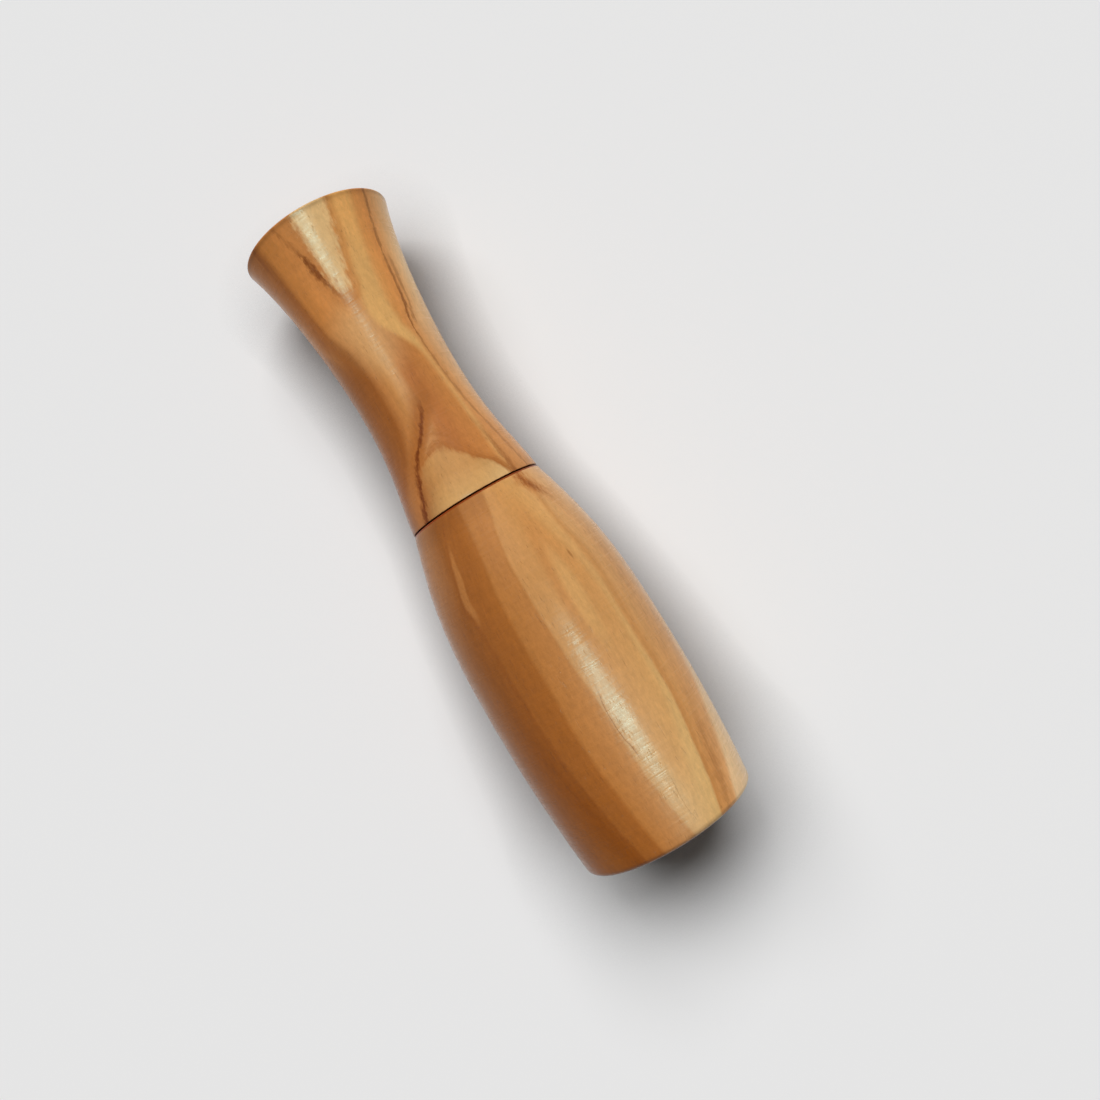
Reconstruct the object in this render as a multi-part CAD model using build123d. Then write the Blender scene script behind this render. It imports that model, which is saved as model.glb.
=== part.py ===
from build123d import *
import os

# A mouth-blown bird call in turned olive wood.
# The player blows into the wide end of the barrel. The breath passes over a moulded tone board, where two
# plastic film reeds, held by a cork wedge, beat against it. The sound leaves through the flared bell.
# The tone board pushes into the barrel at its front and into the bell at its back, each time on two O-rings.
#
# Every piece is drawn on the lathe axis: x runs from the mouth face of the barrel to the rim of the bell,
# z points up out of the reeds, and a station is a place along x. All sizes are in millimetres.

# Barrel
BARREL_LENGTH = 69.5
BARREL_MOUTH_DIAMETER = 34.4
BARREL_BELLY_DIAMETER = 37.3
BARREL_BELLY_STATION = 27.0
BARREL_EDGE_RADIUS = 1.2
MOUTH_BORE_DIAMETER = 13.0
MOUTH_BORE_LENGTH = 9.0
LIP_RADIUS = 2.0
CHAMBER_DIAMETER = 16.0
CHAMBER_LEAD_IN = 0.6

# Joint between barrel and bell
JOINT_DIAMETER = 26.5
JOINT_EDGE_RADIUS = 0.35
JOINT_GAP = 0.45

# Bell
BELL_LENGTH = 58.05
BELL_RIM_DIAMETER = 29.6
BELL_WAIST_DIAMETER = 20.7
BELL_WAIST_FROM_FOOT = 24.0
BELL_RIM_EDGE_RADIUS = 0.6
BELL_MOUTH_DIAMETER = 22.0
BELL_MOUTH_EDGE_RADIUS = 1.0
THROAT_DIAMETER = 9.0
THROAT_LENGTH = 9.0
SOCKET_DIAMETER = 13.0
SOCKET_END_GAP = 0.5

# Tone board with its flange and its two shanks
SHANK_CLEARANCE = 0.25
FRONT_SHANK_LENGTH = 20.0
REAR_SHANK_LENGTH = 20.0
REAR_SHANK_CHAMFER = 0.6
FLANGE_DIAMETER = 19.0
FLANGE_THICKNESS = 2.0
FLANGE_CLEARANCE = 0.2
BOARD_LENGTH = 22.0
BOARD_HEIGHT = 1.2
BOARD_LAND = 2.0
TIP_DROP = 1.1
TIP_CORNER_RADIUS = 5.0
TIP_KEEL_CHAMFER = 1.5
SLOT_LENGTH = 10.0
SLOT_FRONT_HEIGHT = 4.4
SLOT_BACK_HEIGHT = 3.8
ROOF_EDGE_RADIUS = 0.6
CHANNEL_TIP_WALL = 3.0
CHANNEL_TIP_RADIUS = 1.6
CHANNEL_ROOT_RADIUS = 2.7
EXHAUST_END_RADIUS = 3.8

# O-rings and their grooves
RING_SECTION = 1.6
RING_FIT = 0.05
RING_SIDE_GAP = 0.2
RING_INSET = 5.0
RING_PITCH = 8.0

# Reeds and wedge
REED_WIDTH = 10.0
LOWER_REED_THICKNESS = 0.36
UPPER_REED_THICKNESS = 0.30
REED_TIP_SETBACK = 1.0
UPPER_REED_SETBACK = 2.5
REED_TIP_RADIUS = 2.5
UPPER_REED_CLIP = 2.2
REED_TAIL_GAP = 0.3
WEDGE_WIDTH = 9.0
WEDGE_NOSE = 1.5
WEDGE_TAIL_GAP = 0.5
WEDGE_EDGE_CHAMFER = 0.4

# Fullness of each turned curve: how far its first handle reaches along the curve's run and its rise,
# and how far its second handle reaches back along the run
MOUTH_CURVE = (0.31, 0.61, 0.31)
SHOULDER_CURVE = (0.33, 0.80, 0.51)
FOOT_CURVE = (0.20, 0.10, 0.54)
RIM_CURVE = (0.25, 0.66, 0.31)
FLARE_CURVE = (0.30, 0.72, 0.40)

# Cutting tools reach this far past the solid that they cut
CUT_MARGIN = 1.0
SAME_PLACE = 1e-4

# Radii that follow from the sizes
MOUTH_RADIUS = BARREL_MOUTH_DIAMETER / 2
BELLY_RADIUS = BARREL_BELLY_DIAMETER / 2
MOUTH_BORE_RADIUS = MOUTH_BORE_DIAMETER / 2
CHAMBER_RADIUS = CHAMBER_DIAMETER / 2
JOINT_RADIUS = JOINT_DIAMETER / 2
RIM_RADIUS = BELL_RIM_DIAMETER / 2
WAIST_RADIUS = BELL_WAIST_DIAMETER / 2
BELL_MOUTH_RADIUS = BELL_MOUTH_DIAMETER / 2
THROAT_RADIUS = THROAT_DIAMETER / 2
SOCKET_RADIUS = SOCKET_DIAMETER / 2
FLANGE_RADIUS = FLANGE_DIAMETER / 2
FRONT_SHANK_RADIUS = CHAMBER_RADIUS - SHANK_CLEARANCE
REAR_SHANK_RADIUS = SOCKET_RADIUS - SHANK_CLEARANCE

# Stations that follow from the sizes
CHAMBER_START = MOUTH_BORE_LENGTH + CHAMBER_RADIUS - MOUTH_BORE_RADIUS
JOINT_STATION = BARREL_LENGTH
BELL_FOOT = JOINT_STATION + JOINT_GAP
BELL_WAIST = BELL_FOOT + BELL_WAIST_FROM_FOOT
BELL_RIM = BELL_FOOT + BELL_LENGTH
SLOT_BACK = JOINT_STATION - FRONT_SHANK_LENGTH
SLOT_FRONT = SLOT_BACK - SLOT_LENGTH
LAND_START = SLOT_FRONT - BOARD_LAND
BOARD_TIP = SLOT_FRONT - BOARD_LENGTH
FLANGE_BACK = JOINT_STATION + FLANGE_THICKNESS
SHANK_END = FLANGE_BACK + REAR_SHANK_LENGTH
SOCKET_END = SHANK_END + SOCKET_END_GAP
THROAT_END = SOCKET_END + THROAT_LENGTH
BARREL_RINGS = (JOINT_STATION - RING_INSET - RING_PITCH, JOINT_STATION - RING_INSET)
BELL_RINGS = (FLANGE_BACK + RING_INSET, FLANGE_BACK + RING_INSET + RING_PITCH)

# Heights of the stack in the wedge slot, above the axis
UPPER_REED_BOTTOM = BOARD_HEIGHT + LOWER_REED_THICKNESS
WEDGE_BOTTOM = UPPER_REED_BOTTOM + UPPER_REED_THICKNESS
LOWER_REED_TIP = BOARD_TIP + REED_TIP_SETBACK
UPPER_REED_TIP = LOWER_REED_TIP + UPPER_REED_SETBACK
REED_TAIL = SLOT_BACK - REED_TAIL_GAP

# The call lies on a table: its origin is under the middle of its length, at the bottom of the barrel's belly
AT_REST = Pos(-BELL_RIM / 2, 0, BELLY_RADIUS)


def on_profile(station, height):
    """A point of the upright plane through the axis."""
    return Vector(station, 0, height)


def turned_curve(start, level_end, fullness):
    """A curve that leaves its start on a slope and arrives level at its end, each a (station, radius)."""
    along, rise, back = fullness
    run, climb = level_end[0] - start[0], level_end[1] - start[1]
    return Bezier(
        on_profile(*start),
        on_profile(start[0] + along * run, start[1] + rise * climb),
        on_profile(level_end[0] - back * run, level_end[1]),
        on_profile(*level_end),
    )


def lines(*corners):
    """Straight edges of the profile from corner to corner."""
    return [Line(on_profile(*a), on_profile(*b)) for a, b in zip(corners, corners[1:])]


def turn(edges):
    """Turns a closed profile about the axis."""
    return revolve(make_face(edges), Axis.X)


def prism(edges, width):
    """A closed profile of the upright plane, made solid to the same width on both sides of the axis."""
    return extrude(make_face(edges), amount=width / 2, both=True)


def circles(solid, station, radius):
    """The circular edges of a turned piece at one station and radius."""
    return [
        edge
        for edge in solid.edges().filter_by(GeomType.CIRCLE)
        if abs(edge.arc_center.X - station) < SAME_PLACE and abs(edge.radius - radius) < SAME_PLACE
    ]


def barrel():
    """The wide wooden tube: a rounded lip and mouth bore at one end, the tone board's chamber behind it."""
    mouth = (0, MOUTH_RADIUS)
    belly = (BARREL_BELLY_STATION, BELLY_RADIUS)
    joint = (JOINT_STATION, JOINT_RADIUS)
    bore = lines(
        joint,
        (JOINT_STATION, CHAMBER_RADIUS),
        (CHAMBER_START, CHAMBER_RADIUS),
        (MOUTH_BORE_LENGTH, MOUTH_BORE_RADIUS),
        (0, MOUTH_BORE_RADIUS),
        mouth,
    )
    outside = [turned_curve(mouth, belly, MOUTH_CURVE), turned_curve(joint, belly, SHOULDER_CURVE)]
    solid = turn(outside + bore)
    solid = fillet(circles(solid, 0, MOUTH_RADIUS), BARREL_EDGE_RADIUS)
    solid = fillet(circles(solid, 0, MOUTH_BORE_RADIUS), LIP_RADIUS)
    solid = fillet(circles(solid, JOINT_STATION, JOINT_RADIUS), JOINT_EDGE_RADIUS)
    return chamfer(circles(solid, JOINT_STATION, CHAMBER_RADIUS), CHAMBER_LEAD_IN)


def bell():
    """The flared wooden end: a flange seat, a socket for the rear shank, a throat and an open flare."""
    seat_radius = FLANGE_RADIUS + FLANGE_CLEARANCE
    foot = (BELL_FOOT, JOINT_RADIUS)
    waist = (BELL_WAIST, WAIST_RADIUS)
    rim = (BELL_RIM, RIM_RADIUS)
    mouth = (BELL_RIM, BELL_MOUTH_RADIUS)
    throat_end = (THROAT_END, THROAT_RADIUS)
    bore = lines(
        throat_end,
        (SOCKET_END, THROAT_RADIUS),
        (SOCKET_END, SOCKET_RADIUS),
        (FLANGE_BACK, SOCKET_RADIUS),
        (FLANGE_BACK, seat_radius),
        (BELL_FOOT, seat_radius),
        foot,
    )
    outside = [turned_curve(foot, waist, FOOT_CURVE), turned_curve(rim, waist, RIM_CURVE)]
    inside = [turned_curve(mouth, throat_end, FLARE_CURVE)]
    solid = turn(outside + lines(rim, mouth) + inside + bore)
    solid = fillet(circles(solid, BELL_RIM, RIM_RADIUS), BELL_RIM_EDGE_RADIUS)
    solid = fillet(circles(solid, BELL_RIM, BELL_MOUTH_RADIUS), BELL_MOUTH_EDGE_RADIUS)
    return fillet(circles(solid, BELL_FOOT, JOINT_RADIUS), JOINT_EDGE_RADIUS)


def shanks_and_flange():
    """The round stock of the tone board: front shank, stop flange and rear shank."""
    solid = turn(
        lines(
            (BOARD_TIP, 0),
            (BOARD_TIP, FRONT_SHANK_RADIUS),
            (JOINT_STATION, FRONT_SHANK_RADIUS),
            (JOINT_STATION, FLANGE_RADIUS),
            (FLANGE_BACK, FLANGE_RADIUS),
            (FLANGE_BACK, REAR_SHANK_RADIUS),
            (SHANK_END, REAR_SHANK_RADIUS),
            (SHANK_END, 0),
            (BOARD_TIP, 0),
        )
    )
    solid = chamfer(circles(solid, SHANK_END, REAR_SHANK_RADIUS), REAR_SHANK_CHAMFER)
    return chamfer(circles(solid, BOARD_TIP, FRONT_SHANK_RADIUS), TIP_KEEL_CHAMFER)


def board_cut():
    """What is cut away above the reeds: the curved board at the front, then the wedge slot under its roof."""
    top = FRONT_SHANK_RADIUS + CUT_MARGIN
    front = BOARD_TIP - CUT_MARGIN
    tip_height = BOARD_HEIGHT - TIP_DROP
    land = (LAND_START, BOARD_HEIGHT)
    tip = (BOARD_TIP, tip_height)
    curve_of_board = TangentArc(on_profile(*land), on_profile(*tip), tangent=Vector(-1, 0, 0))
    solid = prism(
        lines(
            land,
            (SLOT_BACK, BOARD_HEIGHT),
            (SLOT_BACK, BOARD_HEIGHT + SLOT_BACK_HEIGHT),
            (SLOT_FRONT, BOARD_HEIGHT + SLOT_FRONT_HEIGHT),
            (SLOT_FRONT, top),
            (front, top),
            (front, tip_height),
            tip,
        )
        + [curve_of_board],
        2 * top,
    )
    roof_edge = [
        edge
        for edge in solid.edges().filter_by(Axis.Y)
        if (edge.center() - on_profile(SLOT_FRONT, BOARD_HEIGHT + SLOT_FRONT_HEIGHT)).length < SAME_PLACE
    ]
    return fillet(roof_edge, ROOF_EDGE_RADIUS)


def board_plan():
    """The outline of the tone board from above, with its two front corners rounded."""
    width = 2 * (FLANGE_RADIUS + CUT_MARGIN)
    length = SHANK_END + CUT_MARGIN - BOARD_TIP
    outline = Pos(BOARD_TIP + length / 2, 0) * Rectangle(length, width)
    corner_cut = FLANGE_RADIUS + CUT_MARGIN - FRONT_SHANK_RADIUS
    front = Pos(BOARD_TIP + TIP_CORNER_RADIUS / 2, 0) * Rectangle(TIP_CORNER_RADIUS, width)
    nose = Pos(BOARD_TIP + TIP_CORNER_RADIUS, 0) * Rectangle(2 * TIP_CORNER_RADIUS, width - 2 * corner_cut)
    nose = fillet(nose.vertices().group_by(Axis.X)[0], TIP_CORNER_RADIUS)
    plan = outline - front + nose
    return extrude(plan, amount=FLANGE_RADIUS + CUT_MARGIN, both=True)


def tone_channel():
    """The air passage: an open channel along the board that runs into the exhaust bore of the shanks."""
    ball_station = BOARD_TIP + CHANNEL_TIP_WALL + CHANNEL_TIP_RADIUS
    floor = turn(
        lines(
            (ball_station, 0),
            (ball_station, CHANNEL_TIP_RADIUS),
            (SLOT_BACK, CHANNEL_ROOT_RADIUS),
            (SHANK_END + CUT_MARGIN, EXHAUST_END_RADIUS),
            (SHANK_END + CUT_MARGIN, 0),
            (ball_station, 0),
        )
    )
    sides = make_face(
        Polyline(
            (ball_station, -CHANNEL_TIP_RADIUS),
            (SLOT_BACK, -CHANNEL_ROOT_RADIUS),
            (SLOT_BACK, CHANNEL_ROOT_RADIUS),
            (ball_station, CHANNEL_TIP_RADIUS),
            close=True,
        )
    )
    opening = sides + Pos(ball_station, 0) * Circle(CHANNEL_TIP_RADIUS)
    ball = Pos(ball_station, 0, 0) * Sphere(CHANNEL_TIP_RADIUS)
    return floor + ball + extrude(opening, amount=BOARD_HEIGHT)


def ring_radius(bore_radius):
    """The radius of an O-ring's centre circle where it seals against a bore."""
    return bore_radius - RING_FIT - RING_SECTION / 2


def ring_groove(station, bore_radius):
    """The groove that holds an O-ring on a shank."""
    half_width = RING_SECTION / 2 + RING_SIDE_GAP
    floor = ring_radius(bore_radius) - RING_SECTION / 2 - RING_FIT
    top = bore_radius + CUT_MARGIN
    return turn(
        lines(
            (station - half_width, floor),
            (station - half_width, top),
            (station + half_width, top),
            (station + half_width, floor),
            (station - half_width, floor),
        )
    )


def tone_board():
    """The moulded core of the call: curved board, tone channel, wedge slot, flange and grooved shanks."""
    solid = (shanks_and_flange() & board_plan()) - board_cut() - tone_channel()
    for station in BARREL_RINGS:
        solid -= ring_groove(station, CHAMBER_RADIUS)
    for station in BELL_RINGS:
        solid -= ring_groove(station, SOCKET_RADIUS)
    return solid


def o_ring(station, bore_radius):
    """A rubber ring in its groove, seated against the bore."""
    profile = Plane.XZ * (Pos(station, ring_radius(bore_radius)) * Circle(RING_SECTION / 2))
    return revolve(profile, Axis.X)


def reed(tip, bottom, thickness):
    """A strip of plastic film that lies on the board, with square corners at its tip."""
    length = REED_TAIL - tip
    plan = Plane.XY.offset(bottom) * (Pos(tip + length / 2, 0) * Rectangle(length, REED_WIDTH))
    return extrude(plan, amount=thickness)


def tip_corners(solid):
    """The two upright edges at a reed's tip."""
    return solid.edges().filter_by(Axis.Z).group_by(Axis.X)[0]


def lower_reed():
    """The long reed, with rounded tip corners."""
    solid = reed(LOWER_REED_TIP, BOARD_HEIGHT, LOWER_REED_THICKNESS)
    return fillet(tip_corners(solid), REED_TIP_RADIUS)


def upper_reed():
    """The short reed on top of it, with clipped tip corners."""
    solid = reed(UPPER_REED_TIP, UPPER_REED_BOTTOM, UPPER_REED_THICKNESS)
    return chamfer(tip_corners(solid), UPPER_REED_CLIP)


def cork_wedge():
    """The tapered cork that jams both reed tails against the floor of the slot."""
    nose = SLOT_FRONT - WEDGE_NOSE
    tail = SLOT_BACK - WEDGE_TAIL_GAP
    slope = (SLOT_BACK_HEIGHT - SLOT_FRONT_HEIGHT) / SLOT_LENGTH
    nose_top = BOARD_HEIGHT + SLOT_FRONT_HEIGHT + slope * (nose - SLOT_FRONT)
    tail_top = BOARD_HEIGHT + SLOT_FRONT_HEIGHT + slope * (tail - SLOT_FRONT)
    solid = prism(
        lines(
            (nose, WEDGE_BOTTOM),
            (tail, WEDGE_BOTTOM),
            (tail, tail_top),
            (nose, nose_top),
            (nose, WEDGE_BOTTOM),
        ),
        WEDGE_WIDTH,
    )
    return chamfer(solid.faces().sort_by(Axis.X)[0].edges(), WEDGE_EDGE_CHAMFER)


def pieces():
    """Every piece of the call by name, on the lathe axis."""
    return {
        "barrel": barrel(),
        "bell": bell(),
        "tone_board": tone_board(),
        "lower_reed": lower_reed(),
        "upper_reed": upper_reed(),
        "cork_wedge": cork_wedge(),
        "front_barrel_o_ring": o_ring(BARREL_RINGS[0], CHAMBER_RADIUS),
        "rear_barrel_o_ring": o_ring(BARREL_RINGS[1], CHAMBER_RADIUS),
        "front_bell_o_ring": o_ring(BELL_RINGS[0], SOCKET_RADIUS),
        "rear_bell_o_ring": o_ring(BELL_RINGS[1], SOCKET_RADIUS),
    }


def main():
    os.makedirs("parts", exist_ok=True)
    for name, solid in pieces().items():
        export_step(AT_REST * solid, f"parts/{name}.step")
        print(f"{name}: {solid.volume:.1f} mm3")


if __name__ == "__main__":
    main()
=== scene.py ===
# %% [markdown]
# # A bird call in turned olive wood
# The call is two turned wooden pieces, a barrel to blow into and a flared bell, pushed together over a
# moulded tone board with film reeds. The CAD model already has every piece at its real size and place.
# This lesson gives the pieces their looks: smooth turned meshes, a solid olive wood that runs through
# each of them, and the cork, rubber, film and plastic that show when the call is pulled apart.

# %% Load the CAD model as the frame
import math

import bmesh
import bpy
from mathutils import Matrix, Vector
from mathutils import noise as wave
from mathutils.geometry import interpolate_bezier


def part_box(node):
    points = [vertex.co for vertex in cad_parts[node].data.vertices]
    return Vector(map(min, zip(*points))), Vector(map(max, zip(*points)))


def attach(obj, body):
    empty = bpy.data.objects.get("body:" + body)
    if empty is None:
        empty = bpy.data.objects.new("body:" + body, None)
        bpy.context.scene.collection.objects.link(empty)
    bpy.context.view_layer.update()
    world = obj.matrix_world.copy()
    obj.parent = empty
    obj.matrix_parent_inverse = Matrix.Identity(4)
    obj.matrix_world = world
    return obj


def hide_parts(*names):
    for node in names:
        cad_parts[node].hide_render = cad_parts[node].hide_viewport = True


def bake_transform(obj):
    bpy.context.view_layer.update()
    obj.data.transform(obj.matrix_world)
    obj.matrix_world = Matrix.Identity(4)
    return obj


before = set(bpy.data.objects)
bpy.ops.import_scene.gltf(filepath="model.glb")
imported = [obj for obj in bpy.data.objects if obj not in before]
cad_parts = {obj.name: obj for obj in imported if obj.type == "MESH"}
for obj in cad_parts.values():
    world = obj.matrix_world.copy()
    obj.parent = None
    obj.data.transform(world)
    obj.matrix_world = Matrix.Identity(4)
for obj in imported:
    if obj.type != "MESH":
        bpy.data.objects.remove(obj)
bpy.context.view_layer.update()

print("CAD nodes:", sorted(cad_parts))

# %% [markdown]
# ## Places to build on
# A lathe part is easiest to describe by stations along its axis and a radius at each station. The frame
# gives the ends of both wooden pieces and the height of the axis. The other sizes are the turner's own.

# %% Stations and radii of the turned pieces
MM = 0.001
barrel_low, barrel_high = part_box("barrel")
bell_low, bell_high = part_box("bell")
MOUTH_X, JOINT_X = barrel_low.x, barrel_high.x
FOOT_X, RIM_X = bell_low.x, bell_high.x
BELLY_R = (barrel_high.z - barrel_low.z) / 2
AXIS_Z = barrel_low.z + BELLY_R
BELLY_X = MOUTH_X + 27.0 * MM
MOUTH_R = 17.2 * MM
JOINT_R = 13.25 * MM
WAIST_X = FOOT_X + 24.0 * MM
WAIST_R = 10.35 * MM
RIM_R = 14.8 * MM
print(f"axis {AXIS_Z / MM:.2f} mm up, call {(RIM_X - MOUTH_X) / MM:.1f} mm long")

# %% [markdown]
# ## Turning a profile
# A turner holds a gouge along a curve while the wood spins. In Blender the same thing is a closed outline
# that the spin operator carries once round the axis. Each outside curve is one Bezier segment that
# arrives level at the belly or the waist. Corners are rounded afterwards with the bevel operator, and the
# curve has no points close to such a corner, so that the bevel has room. Points of the bore carry a mark,
# which spin copies to the whole inside wall, so that the finish can tell bare bore from lacquered
# outside.


# %% Helpers that draw a profile and spin it
SPIN_STEPS = 192
CURVE_POINTS = 56
CLOSE = 0.02 * MM
CORNER_ROOM = 1.6


def turned_curve(start, level_end, fullness):
    """Points of a curve from a (station, radius) on a slope to one where it runs level."""
    along, rise, back = fullness
    run, climb = level_end[0] - start[0], level_end[1] - start[1]
    return interpolate_bezier(
        Vector((start[0], 0, start[1])),
        Vector((start[0] + along * run, 0, start[1] + rise * climb)),
        Vector((level_end[0] - back * run, 0, level_end[1])),
        Vector((level_end[0], 0, level_end[1])),
        CURVE_POINTS,
    )


def with_room(points, corner_size):
    """The curve without the points too close to its first one, where a corner will be rounded."""
    first = points[0]
    return [first] + [p for p in points if (p - first).length > CORNER_ROOM * corner_size]


def corners(*places):
    """Corner points of a profile, each a (station, radius)."""
    return [Vector((x, 0, r)) for x, r in places]


def spin_round(bm, geom, steps):
    """Carries an outline once round the lathe axis."""
    bmesh.ops.spin(
        bm, geom=geom, cent=(0, 0, AXIS_Z), axis=(1, 0, 0), angle=math.tau, steps=steps, use_merge=True
    )
    bmesh.ops.recalc_face_normals(bm, faces=bm.faces)


def spin_profile(outside, bore):
    """A closed profile, its outside points and then its bore points, turned into a solid."""
    bm = bmesh.new()
    in_bore = bm.verts.layers.float.new("in_bore")
    up = Vector((0, 0, AXIS_Z))
    verts = [bm.verts.new(point + up) for point in outside + bore]
    for vert in verts[len(outside):]:
        vert[in_bore] = 1.0
    edges = [bm.edges.new(pair) for pair in zip(verts, verts[1:] + verts[:1])]
    spin_round(bm, verts + edges, SPIN_STEPS)
    return bm


def round_edges(bm, edges, size, segments, clamp=False):
    """Rounds edges with the bevel operator. One segment makes a chamfer."""
    bmesh.ops.bevel(
        bm, geom=edges, offset=size, offset_type="OFFSET", affect="EDGES", segments=segments, profile=0.5,
        material=-1, clamp_overlap=clamp,
    )


def round_ring(bm, station, radius, size, segments):
    """Rounds the corner ring at one station and radius."""

    def on_ring(point):
        off = math.hypot(point.y, point.z - AXIS_Z) - radius
        return abs(point.x - station) < CLOSE and abs(off) < CLOSE

    ring = [edge for edge in bm.edges if all(on_ring(vert.co) for vert in edge.verts)]
    round_edges(bm, ring, size, segments)


# %% [markdown]
# ## From a bmesh to a piece of the call
# A finished piece stays at the origin with its place in its mesh, rides on the CAD body that carries it,
# and stands for the CAD node that it replaces. Smooth shading is cut at edges sharper than a given angle,
# so that turned curves stay soft and machined corners stay crisp.


# %% Helper that hands a finished mesh over to the frame
SHARP_ANGLE = math.radians(40)


def make_object(bm, name, material):
    mesh = bpy.data.meshes.new(name)
    bm.to_mesh(mesh)
    bm.free()
    mesh.shade_smooth()
    mesh.set_sharp_from_angle(angle=SHARP_ANGLE)
    mesh.materials.append(material)
    piece = bpy.data.objects.new(name, mesh)
    bpy.context.scene.collection.objects.link(piece)
    print(f"{name}: {len(mesh.polygons)} faces")
    return piece


def stand_in(piece, node, body):
    """The piece rides on a body and takes the place of a CAD node."""
    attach(piece, body)
    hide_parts(node)


# %% [markdown]
# ## Node helpers
# A material is a small network. These helpers add a node with its inputs, a sum or product, stretched
# noise, small relief, and a node group with named sockets, so that each material below reads as a list of
# what it is made of.


# %% Helpers that build shader nodes
def colour(red, green, blue):
    """An sRGB colour from 0 to 255 as Blender's linear RGBA."""
    parts = [c / 255 for c in (red, green, blue)]
    return [p / 12.92 if p <= 0.04045 else ((p + 0.055) / 1.055) ** 2.4 for p in parts] + [1.0]


def feed(tree, socket, value):
    """Links a socket to a node's output, or sets its plain value."""
    if isinstance(value, bpy.types.NodeSocket):
        tree.links.new(value, socket)
    else:
        socket.default_value = value


def add_node(tree, kind, inputs=None, **settings):
    node = tree.nodes.new(kind)
    for name, value in settings.items():
        setattr(node, name, value)
    for name, value in (inputs or {}).items():
        feed(tree, node.inputs[name], value)
    return node


def calc(tree, operation, *values, clamp=False):
    node = add_node(tree, "ShaderNodeMath", dict(enumerate(values)), operation=operation, use_clamp=clamp)
    return node.outputs[0]


def times(tree, *values, clamp=False):
    return calc(tree, "MULTIPLY", *values, clamp=clamp)


def plus(tree, first, second):
    return calc(tree, "ADD", first, second)


def minus(tree, first, second):
    return calc(tree, "SUBTRACT", first, second)


def size_of(tree, value):
    return calc(tree, "ABSOLUTE", value)


def split(tree, vector):
    """The X, Y and Z outputs of a vector."""
    return add_node(tree, "ShaderNodeSeparateXYZ", {"Vector": vector}).outputs


def join(tree, x, y, z=0.0):
    return add_node(tree, "ShaderNodeCombineXYZ", {"X": x, "Y": y, "Z": z}).outputs["Vector"]


def stretch(tree, point, scale, shift=(0, 0, 0)):
    node = add_node(tree, "ShaderNodeMapping", {"Vector": point, "Scale": scale, "Location": shift})
    return node.outputs["Vector"]


NOISE_RANGE = (0.3, 0.7)


def noise(tree, point, scale, detail=2.0, roughness=0.5, output="Fac"):
    """Noise over a stretched point. Most of its values lie in NOISE_RANGE."""
    inputs = {"Vector": stretch(tree, point, scale), "Scale": 1.0, "Detail": detail, "Roughness": roughness}
    return add_node(tree, "ShaderNodeTexNoise", inputs).outputs[output]


def between(tree, value, low, high, to_low=0.0, to_high=1.0, kind="LINEAR"):
    """The value spread from one range to another, and held at its ends."""
    inputs = {"Value": value, "From Min": low, "From Max": high, "To Min": to_low, "To Max": to_high}
    return add_node(tree, "ShaderNodeMapRange", inputs, clamp=True, interpolation_type=kind).outputs["Result"]


def mix_colour(tree, share, first, second, mode="MIX"):
    node = add_node(tree, "ShaderNodeMix", data_type="RGBA", blend_type=mode)
    for number, value in ((0, share), (6, first), (7, second)):
        feed(tree, node.inputs[number], value)
    return node.outputs[2]


def tones(tree, value, stops):
    """A colour ramp through (place, colour) stops."""
    node = add_node(tree, "ShaderNodeValToRGB", {"Fac": value})
    elements = node.color_ramp.elements
    while len(elements) < len(stops):
        elements.new(0.5)
    for element, (place, shade) in zip(elements, stops):
        element.position = place
        element.color = shade
    return node.outputs["Color"]


def along_curve(tree, station, points):
    """A value that follows a smooth curve through (station, value) points."""
    first, last = points[0][0], points[-1][0]
    low, high = min(value for _, value in points), max(value for _, value in points)
    node = add_node(tree, "ShaderNodeFloatCurve", {"Value": between(tree, station, first, last)})
    curve = node.mapping.curves[0]
    while len(curve.points) < len(points):
        curve.points.new(0.5, 0.5)
    for point, (place, value) in zip(curve.points, points):
        point.location = ((place - first) / (last - first), (value - low) / (high - low))
        point.handle_type = "AUTO_CLAMPED"
    node.mapping.update()
    return between(tree, node.outputs["Value"], 0, 1, low, high)


def new_group(name, inputs, outputs):
    """An empty shader node group with named sockets. Point is a vector, and the others are values."""
    tree = bpy.data.node_groups.new(name, "ShaderNodeTree")
    for way, labels in (("INPUT", inputs), ("OUTPUT", outputs)):
        for label in labels:
            kind = "NodeSocketVector" if label == "Point" else "NodeSocketFloat"
            tree.interface.new_socket(label, in_out=way, socket_type=kind)
    entry = tree.nodes.new("NodeGroupInput").outputs
    leave = tree.nodes.new("NodeGroupOutput").inputs
    return tree, entry, leave


def use_group(tree, group, inputs):
    node = tree.nodes.new("ShaderNodeGroup")
    node.node_tree = group
    for name, value in inputs.items():
        feed(tree, node.inputs[name], value)
    return node.outputs


def new_material(name):
    material = bpy.data.materials.new(name)
    material.use_nodes = True
    tree = material.node_tree
    return material, tree, tree.nodes["Principled BSDF"].inputs


def emboss(tree, surface, height, strength, depth):
    """Small relief on a surface. Its depth is in millimetres."""
    bump = add_node(tree, "ShaderNodeBump", {"Strength": strength, "Distance": depth * MM, "Height": height})
    feed(tree, surface["Normal"], bump.outputs["Normal"])


# %% [markdown]
# ## Olive wood, layer by layer
# Olive grows in uneven layers, honey to dark brown, with thin dark veins between some of them. What shows
# on a turned piece is where its surface cuts those layers, so the wood is made solid: each point gets a
# layer number from its place in the blank, and a colour ramp turns the number into a tone. The layers
# stand or lie across the axis, and curves along the piece say how they rise and spread. Noise, stretched
# along the grain, wavers them. The group works in millimetres, with x as the station from the mouth face.

# %% The growth layers group
SLOW_GRAIN = (0.045, 0.16, 0.16)
RAGGED_GRAIN = (0.5, 1.3, 1.3)
RAGGED_SHARE = 0.3

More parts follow.
